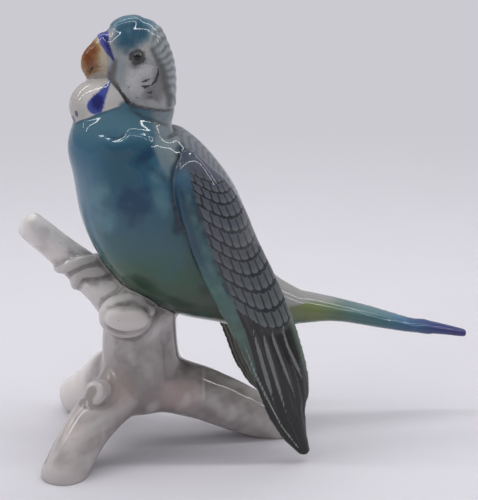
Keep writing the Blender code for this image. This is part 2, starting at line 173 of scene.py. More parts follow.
def loft(
    centres: np.ndarray,
    across_halves: np.ndarray,
    out_halves: np.ndarray,
    side: np.ndarray | Row,
    domes: Domes,
    zone: Zone,
    section: Section = round_section,
) -> Shell:
    """A closed tube along a path.

    Args:
        centres: The points of the path.
        across_halves: Half the width of the section at each of them.
        out_halves: Half its depth.
        side: The way that the sections are wide.
        domes: The heights of the rounded ends.
        zone: What the tube shows.
        section: The form of a section, as shares of its halves at each angle.

    Returns:
        The tube.
    """
    along, across, out = section_frames(centres, side)
    turn = np.linspace(0, 2 * np.pi, 64, endpoint=False)

    def ring(row: int, centre: np.ndarray, share: float) -> np.ndarray:
        """One ring of points round a centre, drawn in to a share of its size.

        Args:
            row: The path's row that it follows.
            centre: Its middle.
            share: Its size, 1 for the full section.

        Returns:
            The ring's points.
        """
        u, v = section(row, turn)
        wide = share * across_halves[row] * u[:, None] * across[row]
        return centre + wide + share * out_halves[row] * v[:, None] * out[row]

    rise = np.linspace(0, np.pi / 2, 9, endpoint=False)[1:]
    first, last = 0, len(centres) - 1
    rings = [
        ring(first, centres[first] - domes[0] * math.sin(a) * along[first], math.cos(a)) for a in rise[::-1]
    ]
    rings += [ring(row, centres[row], 1.0) for row in range(len(centres))]
    rings += [ring(last, centres[last] + domes[1] * math.sin(a) * along[last], math.cos(a)) for a in rise]
    start, end = centres[first] - domes[0] * along[first], centres[last] + domes[1] * along[last]
    return tube(rings, start, end, zone)


def rod(
    points: list[np.ndarray], radii: list[float] | np.ndarray, zone: Zone, domes: Domes = (0.7, 0.7)
) -> Shell:
    """A round tube of changing radius through a few points.

    Args:
        points: The points that its middle line passes through.
        radii: Its radius at each of them.
        zone: What it shows.
        domes: The heights of its rounded ends, as shares of its end radii.

    Returns:
        The tube.
    """
    rows = ease([(*p, r) for p, r in zip(points, radii)])
    halves = rows[:, 3]
    ends = (domes[0] * halves[0], domes[1] * halves[-1])
    return loft(rows[:, :3], halves, halves, (0.31, 0.87, 0.39), ends, zone)


@dataclass(frozen=True)
class Axes:
    """The way that the bird stands over the trunk, and its head on its neck."""

    perch: tuple[float, float, float] = (0.0035, -0.0028, 0.0500)
    turn: float = 13.0
    head_turn: float = 6.0
    neck: tuple[float, float, float] = (0.000975, 0.0, 0.0800475)

    @staticmethod
    def turned(x: np.ndarray, y: np.ndarray, degrees: float) -> tuple[np.ndarray, np.ndarray]:
        """The two numbers turned about the upright axis."""
        a = math.radians(degrees)
        return x * math.cos(a) - y * math.sin(a), x * math.sin(a) + y * math.cos(a)

    def heading(self, forward: Numbers, left: Numbers, up: Numbers, turn: float | None = None) -> np.ndarray:
        """Directions of the bird on the table's axes.

        Args:
            forward: How far the way goes ahead of the bird.
            left: How far it goes to its left.
            up: How far it goes up.
            turn: Degrees that it is turned by, the bird's own when not given.

        Returns:
            The directions. The bird looks along -X, turned a little towards the viewer.
        """
        degrees = self.turn if turn is None else turn
        x, y = self.turned(-np.asarray(forward, float), -np.asarray(left, float), degrees)
        return np.stack(np.broadcast_arrays(x, y, np.asarray(up, float)), axis=-1)

    def bird(self, forward: Numbers, left: Numbers, up: Numbers) -> np.ndarray:
        """Points of the bird's frame, which starts at its perch, on the table's axes."""
        return self.heading(forward, left, up) + self.perch

    def head(self, forward: Numbers, left: Numbers, up: Numbers) -> np.ndarray:
        """Points of the head's frame, which starts at the neck and is turned on it, on the table's axes."""
        return self.bird(*self.neck) + self.heading(forward, left, up, self.head_turn)

    def in_bird(self, points: np.ndarray) -> np.ndarray:
        """Points of the table's axes in the bird's frame: forward, left and up."""
        return self.back(points - np.array(self.perch), self.turn)

    def in_head(self, points: np.ndarray) -> np.ndarray:
        """Points of the table's axes in the head's frame: forward, left and up."""
        return self.back(points - self.bird(*self.neck), self.head_turn)

    def back(self, offsets: np.ndarray, degrees: float) -> np.ndarray:
        """Offsets on the table's axes as forward, left and up.

        Args:
            offsets: The offsets from where the frame starts.
            degrees: What the frame is turned by.

        Returns:
            One row of forward, left and up for each offset.
        """
        x, y = self.turned(offsets[:, 0], offsets[:, 1], -degrees)
        return np.stack([-x, -y, offsets[:, 2]], axis=1)


AXES = Axes()


@dataclass
class Branch:
    """The white branch: a trunk on three legs, an upper limb, a cut stub and a knot."""

    trunk_radius: float = 0.0140
    fork_height: float = 0.0255
    perch_height: float = 0.0500
    limb_length: float = 0.0600
    limb_base: float = 0.0062
    limb_rise: float = 41.0
    leg_radius: float = 0.0086
    front_way: tuple[float, float] = (-0.64, -0.77)
    front_reach: float = 0.0440
    right_reach: float = 0.0550
    back_reach: float = 0.0425
    stub_radius: float = 0.0080
    stub_length: float = 0.0225
    stub_way: tuple[float, float, float] = (0.17, -0.95, 0.18)
    knot_radius: float = 0.0056
    knot_rise: float = 0.0024
    knot_way: tuple[float, float, float] = (-0.50, -0.70, 0.51)
    stub_rows: Rows = (
        (0.00, 1.05, 0.98),
        (0.40, 1.12, 0.98),
        (0.60, 1.24, 1.04),
        (0.70, 1.20, 1.00),
        (0.77, 0.98, 0.68),
        (0.90, 1.02, 0.60),
        (1.00, 0.98, 0.54),
    )

    def fork(self) -> np.ndarray:
        """Where the trunk parts into its three legs."""
        return np.array([0, 0, self.fork_height])

    def perch(self) -> np.ndarray:
        """Where the limb leaves the trunk, under the bird."""
        return np.array([0, 0, self.perch_height])

    def limb_radius(self, share: float) -> float:
        """The upper limb's radius at a share of its length: it thins fast from the trunk, then slowly."""
        return self.limb_base * (0.95 + 1.4 * (1 - share) ** 2.6)

    def limb_point(self, share: float, out: float = 0.0, angle: float = 0.0) -> np.ndarray:
        """A point of the upper limb.

        Args:
            share: How far along the limb it is.
            out: How far out from the limb's middle line.
            angle: Degrees round it from its top, towards the viewer.

        Returns:
            The point.
        """
        rise, a = math.radians(self.limb_rise), math.radians(angle)
        ahead = np.array([-math.cos(rise), 0, math.sin(rise)])
        above = np.array([math.sin(rise), 0, math.cos(rise)])
        near = np.array([0, -1.0, 0])
        start = np.array([0.28 * self.trunk_radius, 0, self.perch_height - 0.12 * self.trunk_radius])
        return start + share * self.limb_length * ahead + out * (math.cos(a) * above + math.sin(a) * near)

    def leg(
        self, way: tuple[float, float], reach: float, heights: Row, radii: Row, domes: Domes
    ) -> Shell:
        """A leg from the fork to its sole.

        Args:
            way: Which way it runs along the table.
            reach: How far its sole is from under the fork.
            heights: Two shares of the fork's height, and one of the leg's radius for the sole.
            radii: Four shares of the leg's radius.
            domes: Its rounded ends, as shares of its end radii.

        Returns:
            The leg.
        """
        foot = reach * unit(np.array([*way, 0.0]))
        high, low = heights[0] * self.fork_height, heights[1] * self.fork_height
        sole = heights[2] * self.leg_radius
        points = [self.fork(), 0.37 * foot + (0, 0, high), 0.71 * foot + (0, 0, low), foot + (0, 0, sole)]
        return rod(points, [r * self.leg_radius for r in radii], Zone.WOOD, domes)

    def limbs(self) -> list[Shell]:
        """The trunk, the upper limb and the three legs.

        Returns:
            The five shapes, which overlap at the fork.
        """
        up = np.array([0, 0, self.trunk_radius])
        trunk = rod(
            [self.fork() - 0.3 * up, self.fork() + 0.4 * up, self.perch(), self.perch() + 0.4 * up],
            [r * self.trunk_radius for r in (1.00, 1.06, 0.98, 0.86)],
            Zone.WOOD,
        )
        shares = (0.0, 0.25, 0.5, 0.75, 1.0)
        line = [self.limb_point(share) for share in shares]
        limb = rod(line, [self.limb_radius(share) for share in shares], Zone.WOOD, (0.5, 0.3))
        front = self.leg(
            self.front_way, self.front_reach, (0.86, 0.50, -0.15), (1.30, 1.15, 1.02, 1.02), (0.6, 0.5)
        )
        right = self.leg(
            (0.99, 0.12), self.right_reach, (0.76, 0.42, 0.30), (1.36, 1.24, 1.10, 0.86), (0.6, 0.7)
        )
        back = self.leg(
            (-0.66, 0.75), self.back_reach, (0.92, 0.50, 0.50), (1.36, 1.20, 1.05, 1.02), (0.6, 0.4)
        )
        return [trunk, limb, front, right, back]

    def stub_root(self) -> np.ndarray:
        """Where the stub's middle line leaves the trunk."""
        return self.perch() + (-0.49 * self.trunk_radius, 0, 0.41 * self.stub_radius)

    def stub(self) -> Shell:
        """The cut end of a side branch towards the viewer: a rolled collar and the pale sawn face within it.

        Returns:
            The stub.
        """
        out = unit(np.array(self.stub_way))
        rows = ease(self.stub_rows, 3)
        wide, high = rows[:, 1] * self.stub_radius, rows[:, 2] * self.stub_radius
        centres = self.stub_root() + rows[:, :1] * self.stub_length * out
        return loft(centres, wide, high, (1.0, 0, -0.05), (high[0], 0.35 * high[-1]), Zone.WOOD)

    def stub_end(self) -> np.ndarray:
        """The middle of the stub's sawn face."""
        return self.stub_root() + self.stub_length * unit(np.array(self.stub_way))

    def knot_centre(self) -> np.ndarray:
        """The middle of the knot's face.

        Returns:
            The point, on the table's axes.
        """
        foot = self.front_reach * unit(np.array([*self.front_way, 0.0]))
        seat = 0.37 * foot + (0, 0, 0.86 * self.fork_height)
        return seat + (1.15 * self.leg_radius + self.knot_rise) * unit(np.array(self.knot_way))

    def knot(self) -> Shell:
        """The low round knot on the front leg.

        Returns:
            The knot.
        """
        out = unit(np.array(self.knot_way))
        reach = 1.15 * self.leg_radius + self.knot_rise
        seat = self.knot_centre() - reach * out
        radii = [r * self.knot_radius for r in (1.1, 1.1, 0.9)]
        return rod([seat, seat + 0.6 * reach * out, seat + reach * out], radii, Zone.WOOD, (0.5, 0.2))


@dataclass
class Feet:
    """The bird's toes, which grip the upper limb and the stub."""

    branch: Branch
    toe_radius: float = 0.0026

    def toe(self, turns: Rows) -> Shell:
        """A toe round the upper limb.

        Args:
            turns: Rows of the share along the limb and the angle round it from its top.

        Returns:
            The toe.
        """
        rows = ease([(*turn, thick) for turn, thick in zip(turns, (0.80, 1.10, 1.05, 0.80))], 2)
        points = [
            self.branch.limb_point(share, self.branch.limb_radius(share) - 0.25 * self.toe_radius, angle)
            for share, angle, _ in rows
        ]
        return rod(points, rows[:, 2] * self.toe_radius, Zone.TOES, (0.8, 1.0))

    def shells(self) -> list[Shell]:
        """Two toes round the limb's near side, one round its far side, and the other foot's over the stub.

        Returns:
            The four toes.
        """
        reach = self.branch.trunk_radius
        over_stub = [
            self.branch.perch() + reach * np.array(p)
            for p in ((-0.30, -0.60, 0.86), (0.02, -0.86, 0.78), (0.36, -0.94, 0.52))
        ]
        return [
            self.toe(((0.36, -30), (0.48, 15), (0.61, 75), (0.665, 150))),
            self.toe(((0.26, -30), (0.38, 15), (0.55, 85), (0.515, 155))),
            self.toe(((0.44, 10), (0.50, -50), (0.54, -100), (0.55, -150))),
            rod(over_stub, [r * self.toe_radius for r in (1.3, 1.2, 0.9)], Zone.TOES),
        ]


@dataclass
class Trunk:
    """The bird's body and its long tail."""

    length: float = 0.0975
    depth: float = 0.0515
    width: float = 0.0470
    tail_length: float = 0.0700
    tail_width: float = 0.0170
    tail_thickness: float = 0.0110
    rows: Rows = (
        (0.060, 0.860, 0.44, 0.44),
        (0.072, 0.800, 0.66, 0.70),
        (0.080, 0.745, 0.76, 0.80),
        (0.068, 0.681, 0.83, 0.88),
        (0.012, 0.562, 1.01, 0.98),
        (-0.058, 0.432, 1.09, 1.02),
        (-0.142, 0.306, 1.04, 0.98),
        (-0.232, 0.197, 0.83, 0.86),
        (-0.338, 0.110, 0.57, 0.67),
        (-0.446, 0.050, 0.45, 0.51),
        (-0.574, 0.012, 0.28, 0.38),
    )
    tail_rows: Rows = (
        (-0.14, 0.020, 1.10, 1.10),
        (0.00, 0.000, 1.16, 1.00),
        (0.23, -0.034, 0.76, 0.88),
        (0.46, -0.099, 0.62, 0.76),
        (0.66, -0.161, 0.46, 0.60),
        (0.84, -0.199, 0.30, 0.42),
        (1.00, -0.241, 0.18, 0.24),
    )

    def body(self) -> Shell:
        """The plump body, from the neck to the root of the tail.

        Returns:
            The body.
        """
        rows = ease(self.rows)
        centres = AXES.bird(rows[:, 0] * self.length, 0, rows[:, 1] * self.length)
        wide, deep = rows[:, 3] * self.width / 2, rows[:, 2] * self.depth / 2
        return loft(centres, wide, deep, AXES.heading(0, 1, 0), (0.5 * deep[0], 0.7 * deep[-1]), Zone.BODY)

    def tail(self) -> Shell:
        """The tail, which thins to its tip.

        Returns:
            The tail.
        """
        rows = ease(self.tail_rows)
        root_forward, root_up = self.rows[-1][0] * self.length, self.rows[-1][1] * self.length
        back, rise = rows[:, 0] * self.tail_length, rows[:, 1] * self.tail_length
        centres = AXES.bird(root_forward - back, 0, root_up + rise)
        wide, deep = rows[:, 3] * self.tail_width / 2, rows[:, 2] * self.tail_thickness / 2
        return loft(centres, wide, deep, AXES.heading(0, 1, 0), (0.7 * deep[0], 0.7 * deep[-1]), Zone.TAIL)

    def shells(self) -> list[Shell]:
        """The body and the tail."""
        return [self.body(), self.tail()]


@dataclass
class Head:
    """The head with its beak, cere, jaw, cheeks, eyes and the puffed bib under it."""

    height: float = 0.0365
    depth: float = 0.0240
    width: float = 0.0238
    throat_depth: float = 0.0190
    throat_width: float = 0.0215
    beak_length: float = 0.0118
    beak_width: float = 0.0100
    eye_radius: float = 0.0019
    skull_rows: Rows = (
        (0.225, 0.880, 0.50, 0.48),
        (0.195, 0.810, 0.75, 0.72),
        (0.160, 0.730, 0.89, 0.85),
        (0.085, 0.605, 0.99, 0.96),
        (0.020, 0.490, 1.03, 1.01),
        (-0.005, 0.355, 1.04, 1.03),
        (-0.020, 0.229, 1.01, 1.02),
        (-0.030, 0.092, 0.96, 0.98),
        (0.000, -0.080, 0.88, 0.96),
    )
    beak_rows: Rows = (
        (0.75, 1.72, 1.06, 0.92),
        (1.17, 1.74, 1.06, 0.92),
        (1.43, 1.62, 0.86, 0.80),
        (1.59, 1.42, 0.56, 0.58),
        (1.65, 1.20, 0.18, 0.20),
    )
    cere_rows: Rows = (
        (0.90, 1.91, 1.20, 1.06),
        (1.10, 1.86, 1.22, 1.10),
        (1.22, 1.83, 1.04, 0.98),
    )
    jaw_rows: Rows = (
        (0.80, 1.22, 0.44, 0.62),
        (1.20, 1.18, 0.42, 0.56),
        (1.46, 1.16, 0.28, 0.36),
    )
    cheek_rows: Rows = (
        (0.06, 0.52, 0.36, 0.20),
        (0.02, 0.40, 0.50, 0.26),
        (-0.04, 0.27, 0.46, 0.24),
    )
    throat_rows: Rows = (
        (0.40, 0.22, 1.08, 0.96),
        (0.65, 0.17, 1.12, 1.02),
        (0.84, 0.11, 1.11, 1.00),
    )

    def middle_part(self, table: Rows, domes: Domes, sizes: tuple[float, float, float], zone: Zone) -> Shell:
        """A shape in the bird's middle plane at its head.

        Args:
            table: Rows of forward, up, half depth and half width, as shares of the sizes.
            domes: Its rounded ends, as shares of its end half depths.
            sizes: The length, the depth and the width that the shares are of.
            zone: What it shows.

        Returns:
            The shape.
        """
        rows = ease(table)
        length, depth, width = sizes
        centres = AXES.head(rows[:, 0] * depth, 0, rows[:, 1] * length)
        wide, deep = rows[:, 3] * width / 2, rows[:, 2] * depth / 2
        ends = (domes[0] * deep[0], domes[1] * deep[-1])
        return loft(centres, wide, deep, AXES.heading(0, 1, 0, AXES.head_turn), ends, zone)

    def cheek(self, hand: int) -> Shell:
        """The puffed cheek under one eye.

        Args:
            hand: 1 on the bird's left, -1 on its right.

        Returns:
            The cheek.
        """
        rows = ease(self.cheek_rows)
        centres = AXES.head(rows[:, 0] * self.depth, hand * 0.33 * self.width, rows[:, 1] * self.height)
        wide, deep = rows[:, 3] * self.width, rows[:, 2] * self.depth / 2
        ends = (0.7 * deep[0], 0.7 * deep[-1])
        return loft(centres, wide, deep, AXES.heading(0, 1, 0, AXES.head_turn), ends, Zone.HEAD)

    def eye_centre(self, hand: int) -> np.ndarray:
        """Where one eye sits on the face, on the table's axes."""
        return AXES.head(0.075 * self.depth, hand * 0.455 * self.width, 0.62 * self.height)

    def eye(self, hand: int) -> Shell:
        """The bead of one eye, half sunk in the face.

        Args:
            hand: 1 on the bird's left, -1 on its right.

        Returns:
            The bead.
        """
        outward = hand * AXES.heading(0, 1, 0, AXES.head_turn)
        socket, radius = self.eye_centre(hand), self.eye_radius
        ends = [socket - radius * outward, socket + 0.25 * radius * outward]
        return rod(ends, [radius] * 2, Zone.HEAD, (1.0, 0.8))

    def shells(self) -> list[Shell]:
        """Every shape of the head.

        Returns:
            The shapes, which overlap.
        """
        beak = (self.beak_length, self.beak_length, self.beak_width)
        throat = (self.throat_depth, self.throat_depth, self.throat_width)
        return [
            self.middle_part(self.skull_rows, (0.50, 0.7), (self.height, self.depth, self.width), Zone.HEAD),
            self.cheek(1),
            self.cheek(-1),
            self.middle_part(self.throat_rows, (0.8, 1.0), throat, Zone.THROAT),
            self.middle_part(self.beak_rows, (0.3, 0.9), beak, Zone.BEAK),
            self.middle_part(self.cere_rows, (0.3, 0.5), beak, Zone.CERE),
            self.middle_part(self.jaw_rows, (0.3, 0.8), beak, Zone.JAW),
            self.eye(1),
            self.eye(-1),
        ]


@dataclass
class Wing:
    """One drooped wing: a thin curved blade over the body's side, its tip just clear of the table."""

    hand: int
    chord: float = 0.0300
    thickness: float = 0.0080
    camber: float = 0.30
    shoulder: tuple[float, float, float] = (-0.01443, 0.02021, 0.06825)
    tip_height: float = 0.0040
    rows: Rows = (
        (0.006, -0.030, -0.010, 0.26, 0.18, 0.60, 26.0),
        (-0.002, -0.006, -0.046, 0.54, 0.42, 0.95, 28.0),
        (-0.022, 0.018, -0.110, 0.70, 0.76, 1.05, 28.0),
        (-0.056, 0.030, -0.212, 0.78, 1.00, 1.00, 28.0),
        (-0.102, 0.030, -0.337, 0.80, 1.02, 0.90, 26.0),
        (-0.156, 0.035, -0.466, 0.74, 1.00, 0.80, 20.0),
        (-0.204, 0.050, -0.595, 0.62, 0.96, 0.70, 14.0),
        (-0.250, 0.066, -0.727, 0.58, 0.84, 0.60, 8.0),
        (-0.280, 0.075, -0.830, 0.54, 0.66, 0.54, 4.0),
        (-0.298, 0.077, -0.874, 0.51, 0.40, 0.50, 3.0),
        (-0.318, 0.080, -0.932, 0.42, 0.24, 0.46, 0.0),
        (-0.342, 0.080, -1.000, 0.18, 0.14, 0.36, 0.0),
    )

    def length(self) -> float:
        """How long the wing is from its shoulder to its tip, measured upright."""
        return AXES.perch[2] + self.shoulder[2] - self.tip_height

    def lines(self) -> tuple[np.ndarray, ...]:
        """The blade as lengths along its middle line.

        Returns:
            The points of the middle line, the ways of the chord, and three lengths at each point: ahead of
            the line, behind it, and half the thickness.
        """
        rows = ease(self.rows)
        forward, left, up = rows[:, :3].T * self.length() + np.array(self.shoulder)[:, None]
        wrap = np.radians(rows[:, 6])
        chord = AXES.heading(np.cos(wrap), self.hand * np.sin(wrap), -0.33 * np.cos(wrap))
        lead, trail = rows[:, 3] * self.chord / 2, rows[:, 4] * self.chord / 2
        return AXES.bird(forward, self.hand * left, up), chord, lead, trail, rows[:, 5] * self.thickness / 2

    def shell(self) -> Shell:
        """The blade, with rounded edges.

        Returns:
            The blade.
        """
        centres, chord, lead, trail, thick = self.lines()

        def section(row: int, a: np.ndarray) -> tuple[np.ndarray, np.ndarray]:
            """The blade's section: blunt edges, and a bulge that follows the body.

            Args:
                row: The row of the middle line.
                a: Angles round the section.

            Returns:
                How far it goes along the chord and out of it.
            """
            u = np.cos(a)
            bulge = self.camber * self.hand * (lead[row] + trail[row]) / 2 * (u**2 - 0.4)
            full = np.sign(np.sin(a)) * np.abs(np.sin(a)) ** 0.6
            return u * np.where(u > 0, lead[row], trail[row]), full * thick[row] * (1 - 0.30 * u**2) + bulge

        whole = np.ones(len(centres))
        return loft(centres, whole, whole, chord, (1.2 * thick[0], thick[-1]), Zone.WING, section)

    def share_and_drop(self, points: np.ndarray) -> tuple[np.ndarray, ...]:
        """Where points lie on the blade.

        Args:
            points: Points on the table's axes.

        Returns:
            The share from the middle line (1 at the leading edge, -1 at the trailing one), how far down the
            wing from 0 at the shoulder to 1 at the tip, the height over the blade's middle in metres, outward
            positive, and half the blade's thickness there.
        """
        centres, chord, lead, trail, thick = self.lines()
        along, across, out = section_frames(centres, chord)
        near = np.empty(len(points), int)
        for start in range(0, len(points), 20000):
            block = slice(start, start + 20000)
            near[block] = ((points[block, None] - centres[None]) ** 2).sum(2).argmin(1)
        from_line = points - centres[near]
        step = np.linalg.norm(np.diff(centres, axis=0), axis=1)
        step = np.append(step, step[-1])
        drop = (near + (from_line * along[near]).sum(1) / step[near]) / (len(centres) - 1)
        fore = (from_line * across[near]).sum(1)
        share = np.where(fore > 0, fore / lead[near], fore / trail[near])
        return share, drop, -self.hand * (from_line * out[near]).sum(1), thick[near]


def mesh_of(name: str, shells: list[Shell]) -> bpy.types.Mesh:
    """One mesh that holds all the shells.

    Args:
        name: The mesh's name.
        shells: The shells.

    Returns:
        The mesh.
    """
    points, faces, first = [], [], 0
    for shell in shells:
        points.append(shell.points)
        faces += [tuple(first + i for i in face) for face in shell.faces]
        first += len(shell.points)
    mesh = bpy.data.meshes.new(name)
    mesh.from_pydata(np.vstack(points).tolist(), [], faces)
    mesh.update()
    return mesh


def points_of(mesh: bpy.types.Mesh, what: str = "co") -> np.ndarray:
    """The places of a mesh's points, or their normals.

    Args:
        mesh: The mesh.
        what: co for the places, normal for the normals.

    Returns:
        Three numbers a point.
    """
    values = np.empty(len(mesh.vertices) * 3)
    mesh.vertices.foreach_get(what, values)
    return values.reshape(-1, 3)


def move_points(mesh: bpy.types.Mesh, points: np.ndarray) -> None:
    """Puts a mesh's points at new places."""
    mesh.vertices.foreach_set("co", points.ravel())
    mesh.update()


def fused(shells: list[Shell], step: float) -> bpy.types.Mesh:
    """Makes overlapping shells one skin of even faces.

    Args:
        shells: The closed shells.
        step: How long the sides of its faces are.

    Returns:
        The skin.
    """
    holder = bpy.data.objects.new("holder", mesh_of("shells", shells))
    bpy.context.scene.collection.objects.link(holder)
    remesh = holder.modifiers.new("skin", "REMESH")
    remesh.mode = "VOXEL"
    remesh.voxel_size = step
    remesh.adaptivity = 0.0
    made = bpy.data.meshes.new_from_object(holder.evaluated_get(bpy.context.evaluated_depsgraph_get()))
    bpy.data.objects.remove(holder)
    return made


def relaxed(mesh: bpy.types.Mesh, reach: float, step: float) -> bpy.types.Mesh:
    """Draws each point towards its neighbours, which rounds the creases.

    Args:
        mesh: A skin of even faces.
        reach: How far the rounding goes.
        step: How long the sides of its faces are.

    Returns:
        The same mesh.
    """
    points = points_of(mesh)
    ends = np.empty(len(mesh.edges) * 2, int)
    mesh.edges.foreach_get("vertices", ends)
    a, b = ends.reshape(-1, 2).T
    count = np.bincount(ends, minlength=len(points))
    for _ in range(max(1, round(2 * (reach / step) ** 2))):
        for axis in range(3):
            values = points[:, axis].copy()
            total = np.bincount(a, values[b], len(points)) + np.bincount(b, values[a], len(points))
            points[:, axis] += 0.5 * (total / count - values)
    move_points(mesh, points)
    return mesh


def ground(mesh: bpy.types.Mesh) -> Vector:
    """Grinds the feet flat on the table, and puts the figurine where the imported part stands.

    Args:
        mesh: The skin, with the trunk's middle line over the start of the axes.

    Returns:
        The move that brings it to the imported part.
    """
    work = bmesh.new()
    work.from_mesh(mesh)
    parts = [*work.verts, *work.edges, *work.faces]
    cut = bmesh.ops.bisect_plane(work, geom=parts, plane_co=(0, 0, 0), plane_no=(0, 0, 1), clear_inner=True)
    rims = [part for part in cut["geom_cut"] if isinstance(part, bmesh.types.BMEdge)]
    bmesh.ops.holes_fill(work, edges=rims, sides=0)
    bmesh.ops.recalc_face_normals(work, faces=work.faces)
    work.to_mesh(mesh)
    work.free()
    points = points_of(mesh)
    low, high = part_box(NODE)
    middle = (Vector(low) + Vector(high)) / 2
    own = Vector((*(points[:, :2].min(0) + points[:, :2].max(0)) / 2, 0))
    move = Vector((middle.x - own.x, middle.y - own.y, 0))
    mesh.transform(Matrix.Translation(move))
    mesh.update()
    return move


def depth_in_spot(at: np.ndarray, centre: Row, radii: Row, tilt: float = 0.0) -> np.ndarray:
    """How deep points lie in an oval.

    Args:
        at: Two or three numbers a point.
        centre: The oval's middle.
        radii: How far it reaches each way.
        tilt: Degrees that it is turned in the plane of the first two.

    Returns:
        1 in the middle, 0 at the rim, and below 0 outside.
    """
    away = at - np.array(centre)
    a = math.radians(tilt)
    x = away[:, 0] * math.cos(a) + away[:, 1] * math.sin(a)
    y = away[:, 1] * math.cos(a) - away[:, 0] * math.sin(a)
    away = np.column_stack([x, y, *away.T[2:]]) / np.array(radii)
    return 1 - np.linalg.norm(away, axis=1)


def depth_in_stroke(at: np.ndarray, path: Rows) -> np.ndarray:
    """How deep points lie in a brush stroke.

    Args:
        at: Two or three numbers a point.
        path: The stroke's corners: the same numbers, and then half its width there.

    Returns:
        The depth from the stroke's edge, above 0 inside it.
    """
    depth = np.full(len(at), -1e3)
    for first, last in zip(path, path[1:]):
        start, end = np.array(first[:-1]), np.array(last[:-1])
        way = end - start
        share = np.clip(((at - start) @ way) / (way @ way), 0, 1)
        half = first[-1] + share * (last[-1] - first[-1])
        depth = np.maximum(depth, half - np.linalg.norm(at - start - share[:, None] * way, axis=1))
    return depth


@dataclass
class Places:
    """Where every point of the skin lies, in millimetres: on the table, the bird, its head and its wings."""

    table: np.ndarray
    bird: np.ndarray
    head: np.ndarray
    wing: np.ndarray
    away: dict[Zone, np.ndarray]

    @staticmethod
    def of(points: np.ndarray, wings: tuple[Wing, Wing], away: dict[Zone, np.ndarray]) -> "Places":
        """Works out the places.

        Args:
            points: The points of the skin.
            wings: The left wing and the right one.
            away: How far each point is from the shapes of each zone, in millimetres.

        Returns:
            The places.
        """
        bird, head = AXES.in_bird(points) / MM, AXES.in_head(points) / MM
        left, right = (np.stack(wing.share_and_drop(points), axis=1) for wing in wings)
        on_left = bird[:, 1] > 0
        wing = np.where(on_left[:, None], left, right) / (1, 1, MM, MM)
        return Places(points / MM, bird, head * (1, 0, 1) + np.abs(head) * (0, 1, 0), wing, away)

    def depth(self, *zones: Zone) -> np.ndarray:
        """How much nearer each point is to some zones than to all others.

        Args:
            zones: The zones.

        Returns:
            Millimetres, above 0 inside the zones.
        """
        inside = np.minimum.reduce([self.away[zone] for zone in zones])
        outside = np.minimum.reduce([self.away[zone] for zone in Zone if zone not in zones])
        return outside - inside


@dataclass(frozen=True)
class Feathering:
    """How the feathers lie on a wing: where its rows of coverts end, as shares of its length."""

    rows: tuple[float, ...] = (
        0.030, 0.060, 0.090, 0.120, 0.155, 0.188, 0.219, 0.256,
        0.293, 0.332, 0.362, 0.398, 0.436, 0.480, 0.524,
    )
    slope: float = 0.063
    sag: float = 0.051
    cells: float = 4.3
    quills: float = 2.6
    quill_start: float = 0.23

    def row_place(self, wing: np.ndarray) -> np.ndarray:
        """How far down the wing a point is, measured along the slanting and sagging rows of its feathers."""
        share, drop = wing[:, 0], wing[:, 1]
        return drop + (self.slope * share + self.sag * share**2) * step_between(-drop, -0.80, -0.60)

    def row_count(self, wing: np.ndarray) -> np.ndarray:
        """Which row of coverts a point is in: a whole number at the end of each row."""
        count = len(self.rows)
        return np.interp(self.row_place(wing), self.rows, range(count), left=-1.0, right=count)

    def quill_phase(self, wing: np.ndarray) -> np.ndarray:
        """The place across the long feathers.

        Args:
            wing: Where the points lie on the wing.

        Returns:
            A whole number in the slit between two feathers.
        """
        share, drop = wing[:, 0], wing[:, 1]
        sway = 0.18 * np.sin(9 * drop + 2 * share)
        return self.quills * (share + self.quill_start + 0.55 * (drop - 0.6)) + sway


